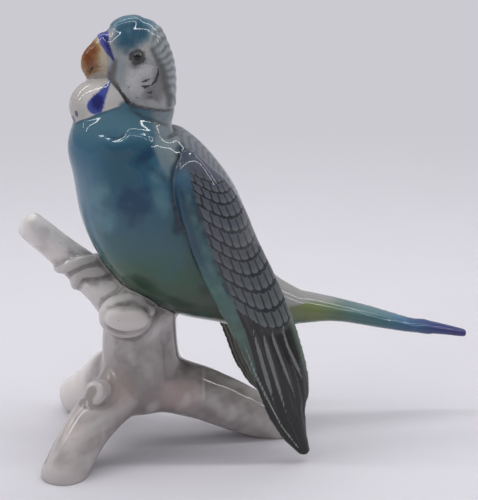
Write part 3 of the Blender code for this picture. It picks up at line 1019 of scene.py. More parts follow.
@dataclass(frozen=True)
class Relief:
    """The modelling cut in the wet piece, finer than its lofted shapes. Heights and depths in millimetres."""

    feathering: Feathering = Feathering()
    quill_depth: float = 0.45
    covert_step: float = 0.30
    nape_ripple: float = 0.085
    hand_wave: float = 0.022
    full_breast: float = 0.5
    breast_ledge: float = 1.5
    neck_hollow: float = 0.9
    eye_bead: float = 0.30
    eye_groove: float = 0.30
    eye_rim: float = 0.22
    cheek_fold: float = 0.30
    cheek_lobe: float = 0.45
    mouth: float = 0.35
    cere: float = 0.25
    crown: float = 1.3
    collar: float = 0.38
    tail_step: float = 0.35
    tail_tip: float = 0.7
    tail_furrow: float = 0.16
    knot_ring: float = 0.15
    knot_dish: float = 0.45
    mould_seam: float = 0.07
    leg_facet: float = 0.45
    bark: float = 0.10

    def height(self, at: Places, eyes: np.ndarray, branch: Branch) -> np.ndarray:
        """How far each point is moved out of the skin.

        Args:
            at: Where the points lie.
            eyes: How far each is from the nearer eye, in millimetres.
            branch: The branch, for the places of its knot and stub.

        Returns:
            Millimetres, below 0 into the skin.
        """
        bird = self.waves(at) + self.breast(at) + self.wing(at) + self.face(at, eyes) + self.tail(at)
        return bird + self.wood(at, branch)

    def waves(self, at: Places) -> np.ndarray:
        """The unevenness of a surface smoothed by hand, which makes its reflections wander.

        Args:
            at: Where the points lie.

        Returns:
            Millimetres outwards at each point.
        """
        x, y, z = at.table.T
        slow = np.sin(0.52 * x + 1.1 * np.sin(0.21 * z) + 0.3) * np.sin(0.44 * z + 0.9 * np.sin(0.33 * y))
        quick = np.sin(1.05 * x - 0.7 * z + 1.3) * np.sin(0.9 * y + 0.83 * z)
        return self.hand_wave * (slow + 0.35 * quick)

    def breast(self, at: Places) -> np.ndarray:
        """The full breast under the collar: pushed out below and drawn in above, so that its top looks up.

        Args:
            at: Where the points lie.

        Returns:
            Millimetres outwards at each point.
        """
        forward, aside, up = at.bird.T
        front = step_between(forward, -2.0, 6.0) * step_between(at.depth(Zone.BODY, Zone.THROAT), -0.5, 1.0)
        wander = 0.8 * np.sin(0.42 * forward + 0.22 * aside)
        swell = bell(up - wander, 68.0, 6.5) - bell(up - wander, 79.5, 4.0)
        edge = np.interp(
            forward, (-2, 0, 5, 8.5, 11, 14, 18, 22), (74.6, 75.3, 76.6, 77.0, 74.8, 74.2, 76.0, 76.5)
        )
        ledge = self.breast_ledge * step_between(edge - up, -1.5, 1.5) * step_between(up - edge, -9.0, -1.5)
        ledge *= step_between(forward, -3.0, 2.0) * step_between(-forward, -22.0, -16.0)
        neck = -self.neck_hollow * bell(up, 82.0, 4.0) * step_between(-forward, 5.0, 9.0)
        return front * (self.full_breast * swell + ledge) + neck * step_between(
            at.depth(Zone.BODY), -0.5, 1.0
        )

    def wing(self, at: Places) -> np.ndarray:
        """The step where the coverts end, and the slits between the long feathers.

        Args:
            at: Where the points lie.

        Returns:
            Millimetres outwards at each point.
        """
        share, drop, out, thick = at.wing.T
        on_blade = step_between(at.depth(Zone.WING), -0.3, 0.8) * (np.abs(out) < 3 * thick + 1)
        row = self.feathering.row_place(at.wing)
        end = self.feathering.rows[-1]
        below = step_between(row, end, end + 0.012) * step_between(-drop, -1.02, -0.90)
        slit = 0.5 + 0.5 * np.cos(2 * np.pi * self.feathering.quill_phase(at.wing))
        fade = step_between(1 - np.abs(share), 0.0, 0.25)
        shaft = self.quill_depth * slit**3 * fade * step_between(-drop, -0.93, -0.78)
        return -on_blade * below * (self.covert_step * fade * step_between(-drop, -0.75, -0.55) + shaft)

    def face(self, at: Places, eyes: np.ndarray) -> np.ndarray:
        """The eyes in their rings, the mouth, the folds of the cheek and the ripples of the nape.

        Args:
            at: Where the points lie.
            eyes: How far each is from the nearer eye, in millimetres.

        Returns:
            Millimetres outwards at each point.
        """
        side = at.head[:, [0, 2]]
        head = step_between(at.depth(Zone.HEAD), -0.5, 0.8)
        bead = self.eye_bead * np.sqrt(np.clip(1 - (eyes / 1.5) ** 2, 0, 1))
        ring = self.eye_rim * bell(eyes, 2.75, 0.55) - self.eye_groove * bell(eyes, 1.75, 0.40)
        cheek = depth_in_stroke(side, MARKS.cheek_fold)
        fold = -self.cheek_fold * step_between(cheek, -0.9, 0.35) * step_between(at.head[:, 1], 4, 7)
        ripples = self.nape_ripple * np.cos(2 * np.pi * MARKS.bar_phase(at.head)) * MARKS.nape(at)
        mouth = -self.mouth * step_between(depth_in_stroke(side, MARKS.mouth), -0.5, 0.25)
        mouth *= step_between(at.depth(Zone.BEAK, Zone.JAW), -0.8, 0.2)
        cere = self.cere * step_between(depth_in_stroke(at.head, MARKS.cere), -0.4, 0.4)
        on_top = depth_in_spot(at.head, (-5.5, 0.0, 32.0), (11.0, 15.0, 11.0))
        crown = self.crown * step_between(on_top, 0.0, 0.95)
        collar = at.depth(Zone.HEAD, Zone.BODY)
        crease = -self.collar * bell(MARKS.over_collar(at.head), 0.0, 0.8) * step_between(collar, -0.5, 0.5)
        on_lobe = step_between(depth_in_spot(side, (-0.6, 17.0), (5.0, 4.6)), 0.0, 0.5)
        lobe = self.cheek_lobe * on_lobe * step_between(at.head[:, 1], 5, 8)
        return head * (bead + ring + fold + ripples + crown + lobe) + mouth + cere + crease

    def tail(self, at: Places) -> np.ndarray:
        """The furrows between the tail's feathers, and the step where the short ones end.

        Args:
            at: Where the points lie.

        Returns:
            Millimetres outwards at each point.
        """
        forward, left, _ = at.bird.T
        tail = step_between(at.depth(Zone.TAIL), -0.5, 1.0)
        line = step_between(forward, -121, -112) * step_between(-forward, 72, 84)
        furrows = np.cos(2 * np.pi * left / 2.6) ** 2 * line
        step = self.tail_step * step_between(forward, -112.5, -109.5)
        tip = self.tail_tip * step_between(-forward, 104, 112)
        return tail * (step + tip - self.tail_furrow * furrows - 0.18)

    def wood(self, at: Places, branch: Branch) -> np.ndarray:
        """The ring of the knot, the facets of the bark, and the seam of the mould.

        Args:
            at: Where the points lie.
            branch: The branch, for the place of its knot.

        Returns:
            Millimetres outwards at each point.
        """
        x, y, z = at.table.T
        wood = step_between(at.depth(Zone.WOOD), -0.6, 0.6)
        knot = np.linalg.norm(at.table - branch.knot_centre() / MM, axis=1)
        rings = self.knot_ring * bell(knot, 5.6, 0.8) + self.knot_dish * bell(knot, 0.0, 4.0)
        seam = self.mould_seam * bell(x, 24.0, 0.45) * step_between(z, 17, 22) * (y < 2)
        facet = -self.leg_facet * step_between(depth_in_stroke(at.table, MARKS.leg_facet), -1.4, 0.6)
        bark = self.bark * np.sin(0.45 * z + 0.8 * np.sin(0.25 * x) + 1.4) * np.sin(0.35 * x - 0.3 * y)
        return wood * (seam + facet + bark - rings)


@dataclass(frozen=True)
class Marks:
    """The painter's strokes on the head: forward, (aside,) up and half width in millimetres of its frame."""

    cheek_fold: Rows = (
        (-3.4, 25.0, 0.05), (-5.0, 21.5, 0.2), (-6.7, 18.5, 0.5), (-7.4, 16.0, 0.7), (-8.0, 12.5, 0.6),
        (-9.0, 8.0, 0.6), (-9.4, 4.5, 0.4),
    )
    mouth: Rows = ((18.6, 15.0, 0.1), (17.6, 17.2, 0.30), (14.0, 17.9, 0.14), (10.8, 17.6, 0.10))
    cere: Rows = (
        (13.6, 0.0, 30.2, 2.4), (12.6, 4.4, 26.6, 1.8), (11.0, 7.0, 23.0, 1.1), (10.0, 8.1, 21.0, 0.4)
    )
    leg_facet: Rows = ((-21.5, -20.5, 21.0, 0.6), (-27.5, -26.0, 14.0, 1.0), (-33.0, -33.0, 6.0, 0.8))
    bar_turn: float = 11.5

    def bar_phase(self, head: np.ndarray) -> np.ndarray:
        """The place across the bars of the nape, which run out from the middle of the head.

        Args:
            head: Points of the head's frame, in millimetres.

        Returns:
            A whole number in the middle of each bar.
        """
        angle = np.degrees(np.arctan2(head[:, 2] - 15, 3 - head[:, 0]))
        reach = np.hypot(head[:, 2] - 15, 3 - head[:, 0])
        return (angle + 1.6 * (reach - 11)) / self.bar_turn + 0.15 * np.sin(0.9 * head[:, 1])

    def over_collar(self, head: np.ndarray) -> np.ndarray:
        """How far each point is over the crease between the head and the body, in millimetres."""
        edge = np.interp(head[:, 0], (-12.0, -8.0, 0.5, 5.4, 9.0), (1.8, 2.6, 4.6, 6.2, 11.5))
        return head[:, 2] - edge

    def nape(self, at: Places) -> np.ndarray:
        """How much each point belongs to the barred down behind the cheeks and over the back of the neck.

        Args:
            at: Where the points lie.

        Returns:
            1 on the down and 0 off it.
        """
        forward, _, up = at.head.T
        fold = np.interp(
            up, (4, 8, 12.5, 16, 19, 21.5, 25, 29, 33), (-9.6, -9.0, -8.0, -7.4, -6.6, -4.8, -2.8, -2.6, -3.5)
        )
        back = step_between(fold - forward, -0.3, 1.6) * step_between(up, -4.0, 3.0)
        return back * step_between(at.depth(Zone.HEAD, Zone.BODY), -0.5, 0.5)


MARKS = Marks()


@dataclass
class Casting:
    """The whole figurine as one skin: its shapes fused, eased and carved, with the painter's masks on it."""

    branch: Branch = field(default_factory=Branch)
    trunk: Trunk = field(default_factory=Trunk)
    head: Head = field(default_factory=Head)
    wings: tuple[Wing, Wing] = field(default_factory=lambda: (Wing(1), Wing(-1)))
    relief: Relief = field(default_factory=Relief)
    skin_step: float = 0.00080
    wood_step: float = 0.00108
    fork_ease: float = 0.0034
    bird_ease: float = 0.0010
    move: Vector = field(default_factory=Vector)

    def build(self) -> bpy.types.Object:
        """Makes the skin.

        Returns:
            The figurine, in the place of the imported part.
        """
        wood_mesh = relaxed(fused(self.branch.limbs(), self.wood_step), self.fork_ease, self.wood_step)
        wood = Shell(points_of(wood_mesh), [tuple(face.vertices) for face in wood_mesh.polygons], Zone.WOOD)
        shells = [
            *self.trunk.shells(),
            *self.head.shells(),
            *[wing.shell() for wing in self.wings],
            wood,
            self.branch.stub(),
            self.branch.knot(),
            *Feet(self.branch).shells(),
        ]
        mesh = relaxed(fused(shells, self.skin_step), self.bird_ease, self.skin_step)
        mesh.name = "glazed_skin"
        places = Places.of(points_of(mesh), self.wings, self.distances(points_of(mesh), shells))
        eyes = self.from_eyes(points_of(mesh))
        height = self.relief.height(places, eyes, self.branch)
        move_points(mesh, points_of(mesh) + points_of(mesh, "normal") * height[:, None] * MM)
        for name, values in Underglaze(places, eyes, self.hollows(mesh), self.branch).fields().items():
            mesh.attributes.new(name, "FLOAT", "POINT").data.foreach_set("value", values.astype(np.float32))
        self.move = ground(mesh)
        mesh.polygons.foreach_set("use_smooth", [True] * len(mesh.polygons))
        piece = bpy.data.objects.new("porcelain_figurine", mesh)
        bpy.context.scene.collection.objects.link(piece)
        return piece

    def from_eyes(self, points: np.ndarray) -> np.ndarray:
        """How far each point is from the nearer eye's middle, in millimetres, measured over the face.

        Args:
            points: The points of the skin.

        Returns:
            One distance a point.
        """
        away = []
        for hand in (1, -1):
            offset = AXES.back(points - self.head.eye_centre(hand), AXES.head_turn) / MM
            away.append(np.hypot(np.hypot(offset[:, 0], offset[:, 2]), 0.35 * offset[:, 1]))
        return np.minimum(*away)

    def hollows(self, mesh: bpy.types.Mesh) -> np.ndarray:
        """How hollow the skin is at each point.

        Args:
            mesh: The skin.

        Returns:
            Millimetres, above 0 in a crease and below 0 on a ridge.
        """
        smooth = relaxed(mesh.copy(), 2.4 * self.skin_step, self.skin_step)
        depth = ((points_of(smooth) - points_of(mesh)) * points_of(mesh, "normal")).sum(1) / MM
        bpy.data.meshes.remove(smooth)
        return depth

    def distances(self, points: np.ndarray, shells: list[Shell]) -> dict[Zone, np.ndarray]:
        """How far each point is from the shapes of each zone, in millimetres.

        Args:
            points: The points of the skin.
            shells: The shapes, each with its zone.

        Returns:
            One number a point for each zone, 20 or less.
        """
        far = 0.02
        away = {zone: np.full(len(points), far / MM) for zone in Zone}
        for shell in shells:
            low, high = shell.points.min(0) - far / 3, shell.points.max(0) + far / 3
            inside = np.flatnonzero(((points > low) & (points < high)).all(1))
            tree = BVHTree.FromPolygons(shell.points.tolist(), shell.faces)
            nearest = [tree.find_nearest(Vector(points[i]), far)[3] for i in inside]
            found = np.array([far if distance is None else distance for distance in nearest]) / MM
            away[shell.zone][inside] = np.minimum(away[shell.zone][inside], found)
        return away


@dataclass
class Underglaze:
    """The painter's work on the raw piece, as soft masks and smooth distances on the points of the skin."""

    at: Places
    eyes: np.ndarray
    hollows: np.ndarray
    branch: Branch
    feathering: Feathering = Feathering()

    def fields(self) -> dict[str, np.ndarray]:
        """Every mask and distance that the painter reads.

        Returns:
            For each name, 1 where a colour lies fully, or millimetres inside its edge.
        """
        depth = self.at.depth
        masks = {
            "hollow": self.hollows,
            "wood": depth(Zone.WOOD, Zone.TOES),
            "toes": depth(Zone.TOES),
            "head": np.minimum(depth(Zone.HEAD, Zone.BODY), MARKS.over_collar(self.at.head)),
            "throat": depth(Zone.THROAT),
            "beak": depth(Zone.BEAK, Zone.CERE, Zone.JAW),
            "jaw": depth(Zone.JAW),
            "wing": depth(Zone.WING),
            "tail": np.maximum(
                depth(Zone.TAIL), np.minimum(depth(Zone.TAIL, Zone.BODY), -48.0 - self.at.bird[:, 0])
            ),
            "height": self.at.table[:, 2],
        }
        return {**masks, **self.body(), **self.face(), **self.wings(), **self.tail(), **self.wood()}

    def body(self) -> dict[str, np.ndarray]:
        """The clouds of blue and green on the breast, the pale mantle with its bars, and painted shade by the
        wing.

        Returns:
            The masks and distances by name.
        """
        forward, aside, up = self.at.bird.T
        side = self.at.bird[:, [0, 2]]
        dark = [
            (9.5, 71.0, 10.0, 4.5, -6), (13.5, 65.5, 6.0, 8.0, -20), (4.0, 68.5, 5.5, 4.5, -30),
            (10.0, 60.0, 6.0, 6.5, 30),
        ]
        navy = [(7.0, 52.0, 5.5, 8.5, 15), (11.0, 53.0, 4.0, 5.0, 0), (3.5, 69.0, 4.5, 2.6, -35)]
        pale = [
            (19.5, 54.0, 3.6, 8.0, 14), (-0.5, 61.5, 3.8, 5.0, 10), (-1.0, 55.0, 3.0, 4.0, 0),
            (-2.5, 51.0, 3.2, 5.0, 0), (17.0, 44.0, 4.0, 7.0, 10),
        ]
        tongue = depth_in_stroke(
            side, ((-6.0, 79.0, 6.0), (-4.6, 72.0, 5.6), (-4.0, 66.0, 3.8), (-4.4, 61.0, 1.4))
        )
        front = np.interp(up, (50, 60, 66, 72, 78), (-12.0, -7.0, -4.5, -2.0, 0.0))
        return {
            "breast_dark": self.clouds(side, dark),
            "breast_navy": self.clouds(side, navy),
            "breast_pale": self.clouds(side, pale),
            "up": up,
            "forward": forward,
            "tongue": tongue,
            "tongue_line": depth_in_stroke(
                side, ((6.0, 68.6, 0.2), (1.5, 64.6, 0.5), (-2.5, 61.2, 0.6), (-4.6, 60.3, 0.4))
            ),
            "mantle": step_between(front - forward, -1.0, 3.5) * step_between(up, 24, 34)
            * np.maximum(step_between(-aside, -20, -16), step_between(up, 62, 68)),
            "mantle_bars": (up + 0.35 * forward + 1.4 * np.cos(aside / 2.2)) / 3.1,
            # Painted shade: the stroke along the crease where the wing's front edge meets the body.
            "wing_crease_shade": depth_in_stroke(
                side, ((-10.2, 69.0, 0.7), (-10.0, 57.0, 1.3), (-8.4, 47.0, 1.7), (-6.8, 42.5, 0.8))
            ),
            "moss": self.clouds(
                side, [(4.5, 20.5, 5.5, 5.0, 20), (-18.0, 17.5, 4.0, 4.0, 0), (-9.0, 12.0, 8.0, 4.0, 10)]
            ),
        }

    @staticmethod
    def clouds(at: np.ndarray, spots: Spots) -> np.ndarray:
        """Soft airbrushed clouds.

        Args:
            at: Two numbers a point.
            spots: The middle, the two radii and the tilt of each cloud.

        Returns:
            1 where the colour is thickest and 0 where there is none.
        """
        clear = np.ones(len(at))
        for x, y, wide, high, tilt in spots:
            clear *= 1 - step_between(depth_in_spot(at, (x, y), (wide, high), tilt), -0.6, 1.0)
        return 1 - clear

    def face(self) -> dict[str, np.ndarray]:
        """The blue crown, the cere, the beak, the eyes, the cheek's marks and the spots of the bib.

        Returns:
            The masks and distances by name.
        """
        forward, _, up = self.at.head.T
        side = self.at.head[:, [0, 2]]
        low = np.interp(forward, (-8, -4, -1, 4, 8, 11), (31.5, 29.0, 27.0, 25.8, 24.5, 22.5))
        marks = (
            ((-5.5, 18.4, 0.15), (-5.3, 16.2, 0.42), (-4.3, 14.0, 0.52), (-2.7, 12.9, 0.30)),
            ((-2.0, 15.0, 0.20), (-0.9, 14.7, 0.42), (0.5, 14.4, 0.16)),
            ((-2.0, 12.8, 0.20), (-0.6, 12.4, 0.62), (0.7, 12.9, 0.14)),
            ((-3.4, 10.8, 0.12), (-2.2, 10.1, 0.42), (-1.0, 10.2, 0.10)),
            ((1.8, 8.5, 0.08), (2.8, 8.2, 0.24), (3.8, 8.7, 0.06)),
            ((4.6, 12.4, 0.05), (5.2, 11.8, 0.16), (5.6, 11.2, 0.05)),
        )
        bib = self.at.head
        dots = [
            depth_in_spot(bib, (23.8, 6.9, 1.7), (0.85, 1.3, 1.45)),
            depth_in_spot(bib, (25.0, 4.2, -0.8), (1.8, 1.5, 1.5)),
        ]
        brow = np.maximum(step_between(-forward, -10.5, -6.5), step_between(up, 29, 33))
        over_collar = np.abs(MARKS.over_collar(self.at.head))
        return {
            "crown": step_between(up - low, -1.8, 3.8) * step_between(forward, -12.5, -3.5) * brow,
            "crown_dark": self.clouds(side, [(4.6, 28.6, 6.0, 5.5, 0), (2.0, 31.0, 5.0, 3.5, 0)]),
            "lore": self.clouds(side, [(9.4, 24.0, 3.4, 6.0, 15), (8.0, 17.0, 3.0, 5.5, 0)]),
            # Painted shadow: a soft dark line down the face behind the beak.
            "beak_shadow_line": depth_in_stroke(
                side, ((9.4, 21.0, 0.1), (10.4, 17.4, 0.7), (11.0, 14.0, 0.8), (9.0, 11.4, 0.4))
            ),
            "eye": self.eyes,
            "collar": over_collar + np.maximum(0, -2 * self.at.depth(Zone.HEAD, Zone.BODY)),
            "cheek_shade": self.clouds(
                side, [(-3.0, 9.5, 5.0, 3.0, 25), (-5.5, 14.0, 2.6, 5.0, -20), (2.0, 19.6, 4.0, 1.6, 0)]
            ),
            # Pale patches on the cheek; the upper one, on the lobe under the eye, is a painted highlight.
            "cheek_pale_and_highlight": self.clouds(side, [(-0.6, 18.6, 3.2, 1.9, -10), (2.5, 13.0, 4.0, 4.0, 0)]),
            "cheek_fold": depth_in_stroke(side, MARKS.cheek_fold),
            "cheek_marks": np.maximum.reduce([depth_in_stroke(side, path) for path in marks]),
            "bars": MARKS.bar_phase(self.at.head),
            "nape": MARKS.nape(self.at),
            "cere": depth_in_stroke(self.at.head, MARKS.cere),
            "cere_dark": self.clouds(side, [(11.4, 26.2, 1.5, 3.4, -28), (10.4, 22.8, 1.4, 2.6, -30)]),
            "beak_brown": self.clouds(side, [(18.9, 20.6, 3.8, 7.4, -12), (17.6, 24.5, 3.0, 2.8, 0)]),
            "beak_place": forward,
            "mouth": depth_in_stroke(side, MARKS.mouth),
            "teardrop": depth_in_stroke(
                bib, ((10.8, 5.0, 14.0, 0.25), (14.2, 8.8, 9.3, 1.7), (17.0, 10.2, 5.2, 3.1))
            ),
            "teardrop_heart": depth_in_spot(bib, (16.2, 10.0, 6.6), (3.0, 3.4, 4.2)),
            "bib_dots": np.maximum.reduce(dots),
            "bib_crease": depth_in_stroke(
                side, ((8.6, 11.2, 0.10), (7.8, 9.8, 0.45), (5.6, 6.7, 0.75), (4.8, 6.0, 0.3))
            ),
        }

    def wings(self) -> dict[str, np.ndarray]:
        """The feathers of the wings, the grey streaks of the long ones, and a painted highlight on their
        lower edges.

        Returns:
            The masks and distances by name.
        """
        share, drop, out, thick = self.at.wing.T
        side = self.at.bird[:, [0, 2]]
        streaks = (
            ((-33.0, 5.5, 0.15), (-35.4, -4.3, 0.75), (-38.9, -17.2, 0.70), (-41.3, -25.5, 0.05)),
            ((-36.7, 4.3, 0.15), (-38.7, -4.4, 0.80), (-42.5, -18.4, 0.65), (-46.8, -33.5, 0.05)),
            ((-40.2, 4.7, 0.15), (-41.7, -1.5, 0.60), (-45.6, -12.7, 0.55), (-49.4, -24.0, 0.05)),
            ((-44.8, 6.5, 0.15), (-47.0, -3.4, 0.60), (-51.0, -13.1, 0.50), (-52.6, -18.0, 0.05)),
        )
        # The stroke of the painted highlight along the wing's lower front edge.
        rim = (
            (-29.4, 1.0, 0.10), (-34.1, -12.9, 0.30), (-38.5, -23.2, 0.35),
            (-43.7, -33.9, 0.35), (-50.4, -43.6, 0.25),
        )
        band = np.interp(
            drop, (0.0, 0.15, 0.30, 0.45, 0.52, 0.60, 0.68), (0.50, 0.62, 0.66, 0.62, 0.66, 0.80, 1.15)
        )
        return {
            "wing_share": share,
            "wing_drop": drop,
            "wing_row": self.feathering.row_count(self.at.wing),
            "wing_out": out / thick,
            "wing_band": share - band,
            "wing_slit": self.feathering.quill_phase(self.at.wing),
            "wing_streaks": np.maximum.reduce([depth_in_stroke(side, path) for path in streaks]),
            "wing_rim": depth_in_stroke(side, rim),
        }

    def tail(self) -> dict[str, np.ndarray]:
        """How high a point is over the tail's middle line.

        Returns:
            The masks and distances by name.
        """
        forward, _, up = self.at.bird.T
        middle = np.interp(forward, (-126, -110, -90, -72, -56), (-15.7, -10.5, -5.4, -0.5, 1.4))
        return {"tail_top": up - middle}

    def wood(self) -> dict[str, np.ndarray]:
        """The branch's grey tone and painted shade, its far leg's painted light, its pink, and the stub's
        sawn face.

        Returns:
            The masks and distances by name.
        """
        x, y, z = self.at.table.T
        # Grey toning, partly airbrush and partly painted shade: under the bird, round the toes, on the trunk
        # and in the fork.
        spots = [
            ((-21.0, -4.0, 72.5), (13.0, 10.0, 7.5), 1.0),
            ((-14.5, -5.0, 70.0), (8.0, 7.0, 5.0), 0.8),
            ((0.0, -4.0, 59.0), (15.0, 15.0, 8.0), 1.0),
            ((9.0, -8.0, 42.0), (7.0, 12.0, 12.0), 0.3),
            ((-3.0, -14.0, 42.0), (9.0, 8.0, 10.0), 0.6),
            ((17.0, 2.0, 31.0), (15.0, 10.0, 5.0), 0.6),
            ((-8.5, -14.0, 55.0), (9.0, 6.0, 9.0), 0.6),
            ((-2.0, -14.0, 34.0), (6.0, 6.0, 6.0), 0.35),
        ]
        grey = np.ones(len(x))
        for centre, radii, strength in spots:
            grey *= 1 - strength * step_between(depth_in_spot(self.at.table, centre, radii), -0.35, 0.75)
        face = self.branch.stub_end() / MM
        way = unit(np.array(self.branch.stub_way))
        offset = self.at.table - face
        along = offset @ way
        flat = offset - along[:, None] * way
        sawn = 1 - np.hypot((flat[:, 0] - 0.9) / 7.9, (flat[:, 2] + 1.0) / 4.3)
        on_stub = np.column_stack([flat[:, 0], flat[:, 2], along])
        toe_paths = (
            ((-21.5, 71.8, 0.2), (-19.5, 71.0, 0.6), (-17.2, 70.4, 0.3)),
            ((-15.8, 70.0, 0.3), (-13.0, 69.2, 0.7), (-10.4, 69.2, 0.5)),
        )
        lines = [depth_in_stroke(self.at.table[:, [0, 2]], path) for path in toe_paths]
        blush = [
            ((-8.0, -15.0, 24.0), (9.0, 9.0, 12.0)),
            ((14.0, -8.0, 22.0), (14.0, 8.0, 8.0)),
            ((-31.0, 0.0, 77.0), (10.0, 8.0, 8.0)),
            ((-22.0, -26.0, 12.0), (9.0, 9.0, 10.0)),
        ]
        pink = np.ones(len(x))
        for centre, radii in blush:
            pink *= 1 - step_between(depth_in_spot(self.at.table, centre, radii), -0.3, 0.8)
        return {
            "grey_tone_and_shade": 1 - grey,
            # Painted light: the far leg is painted paler.
            "far_leg": step_between(y, 7.0, 15.0) * step_between(-z, -40.0, -30.0),
            "pink_tone": 1 - pink,
            "stub_face": sawn - 0.5 * (along < -3.5),
            "stub_shade": depth_in_spot(on_stub, (-1.5, 4.4, -2.0), (7.0, 2.6, 5.0)),
            "toe_lines": np.where(y < 2, np.maximum(*lines), -9.0),
        }


def linear(colour: str) -> tuple[float, float, float, float]:
    """An sRGB hex colour as the linear light values that a shader takes."""
    shares = [int(colour[i : i + 2], 16) / 255 for i in (1, 3, 5)]
    return (*[s / 12.92 if s <= 0.04045 else ((s + 0.055) / 1.055) ** 2.4 for s in shares], 1.0)


def add(
    tree: bpy.types.NodeTree, kind: str, inputs: dict[str | int, object] | None = None, **settings: object
) -> bpy.types.Node:
    """Adds one node to a material or to the world.

    Args:
        tree: The nodes that it joins.
        kind: Blender's name for it.
        inputs: What each input gets: a value, a signal or another node's output.
        settings: Its other settings.

    Returns:
        The node.
    """
    node = tree.nodes.new(kind)
    for name, value in settings.items():
        setattr(node, name, value)
    for name, value in (inputs or {}).items():
        value = value.socket if isinstance(value, Signal) else value
        if isinstance(value, bpy.types.NodeSocket):
            tree.links.new(value, node.inputs[name])
        else:
            node.inputs[name].default_value = value
    return node


@dataclass(frozen=True)
class Signal:
    """A number that a material works out at each point, with the arithmetic of numbers."""

    tree: bpy.types.NodeTree
    socket: bpy.types.NodeSocket

    def maths(self, what: str, *others: "Signal | float") -> "Signal":
        """This number and others put through one operation of the Math node.

        Args:
            what: The operation.
            others: Numbers or signals.

        Returns:
            The result.
        """
        node = add(self.tree, "ShaderNodeMath", dict(enumerate((self, *others))), operation=what)
        return Signal(self.tree, node.outputs[0])

    def __add__(self, other: "Signal | float") -> "Signal":
        """The sum."""
        return self.maths("ADD", other)

    def __sub__(self, other: "Signal | float") -> "Signal":
        """The difference."""
        return self.maths("SUBTRACT", other)

    def __mul__(self, other: "Signal | float") -> "Signal":
        """The product."""
        return self.maths("MULTIPLY", other)

    def between(self, low: float, high: float) -> "Signal":
        """A soft step from one value of the signal to another.

        Args:
            low: Where the result is 0.
            high: Where it is 1, above low or below it.

        Returns:
            The step, from 0 to 1.
        """
        turned = low > high
        inputs = {0: self, 1: min(low, high), 2: max(low, high), 3: float(turned), 4: float(not turned)}
        node = add(self.tree, "ShaderNodeMapRange", inputs, interpolation_type="SMOOTHSTEP")
        return Signal(self.tree, node.outputs[0])

    def whole(self) -> "Signal":
        """The whole number below it."""
        return self.maths("FLOOR")

    def line(self, width: float, soft: float) -> "Signal":
        """1 on the whole numbers and 0 between them.

        Args:
            width: Half the width of the line, as a share of the step between two.
            soft: How far its edge fades.

        Returns:
            How strong the line is.
        """
        away = self.maths("PINGPONG", 0.5)
        return away.between(width + soft, width)


class Brush:
    """The painter's hand on a material: reads the skin's masks and lays colour over colour."""

    def __init__(self, tree: bpy.types.NodeTree, ground_colour: str) -> None:
        """Starts with one colour all over.

        Args:
            tree: The material's nodes.
            ground_colour: The colour of the bare piece.
        """
        self.tree = tree
        self.place = add(tree, "ShaderNodeTexCoord").outputs["Object"]
        self.colour = add(tree, "ShaderNodeRGB").outputs[0]
        self.colour.default_value = linear(ground_colour)
        self.known: dict[str, Signal] = {}

    def mask(self, name: str) -> Signal:
        """One of the masks or distances of the underglaze.

        Args:
            name: Its name.

        Returns:
            The mask, from one node however often it is read.
        """
        if name not in self.known:
            node = add(self.tree, "ShaderNodeAttribute", attribute_name=name)
            self.known[name] = Signal(self.tree, node.outputs["Fac"])
        return self.known[name]

    def noise(
        self, size: float, detail: float = 2.0, stretch: tuple[float, float, float] = (1, 1, 1)
    ) -> Signal:
        """Uneven patches.

        Args:
            size: Their size in millimetres.
            detail: How many finer sizes are added.
            stretch: How much longer they are along each axis.

        Returns:
            Mostly -0.25 to 0.25, and 0 on average.
        """
        scale = [1 / (size * MM * s) for s in stretch]
        spread = add(self.tree, "ShaderNodeMapping", {"Vector": self.place, "Scale": scale})
        node = add(
            self.tree, "ShaderNodeTexNoise", {"Vector": spread.outputs[0], "Scale": 1.0, "Detail": detail}
        )
        return Signal(self.tree, node.outputs["Fac"]) - 0.5

    def flow(self, first: Signal, second: Signal, detail: float = 1.5) -> Signal:
        """Uneven patches that follow two signals of the skin in place of the table's axes.

        Args:
            first: The signal that takes the place of X, in patches.
            second: The one that takes the place of Y.
            detail: How many finer sizes are added.

        Returns:
            Mostly -0.25 to 0.25, and 0 on average.
        """
        joined = add(self.tree, "ShaderNodeCombineXYZ", {0: first, 1: second})
        node = add(
            self.tree, "ShaderNodeTexNoise", {"Vector": joined.outputs[0], "Scale": 1.0, "Detail": detail}
        )
        return Signal(self.tree, node.outputs["Fac"]) - 0.5

    def over(self, colour: str | bpy.types.NodeSocket, mask: Signal) -> None:
        """Lays a colour over what is there already.

        Args:
            colour: The colour, or the output that works it out.
            mask: Where it lies, from 0 to 1.
        """
        shade = linear(colour) if isinstance(colour, str) else colour
        node = add(self.tree, "ShaderNodeMix", {0: mask, 6: self.colour, 7: shade}, data_type="RGBA")
        self.colour = node.outputs[2]

    def ramp(self, along: Signal, stops: dict[float, str]) -> bpy.types.NodeSocket:
        """A colour that changes along a signal.

        Args:
            along: The signal.
            stops: The colour at each of its values, the values rising.

        Returns:
            The colour.
        """
        low, high = min(stops), max(stops)
        node = add(self.tree, "ShaderNodeValToRGB", {0: (along - low) * (1 / (high - low))})
        points = node.color_ramp.elements
        points[1].position, points[1].color = 1.0, linear(stops[high])
        points[0].position, points[0].color = 0.0, linear(stops[low])
        for value, colour in stops.items():
            if low < value < high:
                points.new((value - low) / (high - low)).color = linear(colour)
        return node.outputs[0]


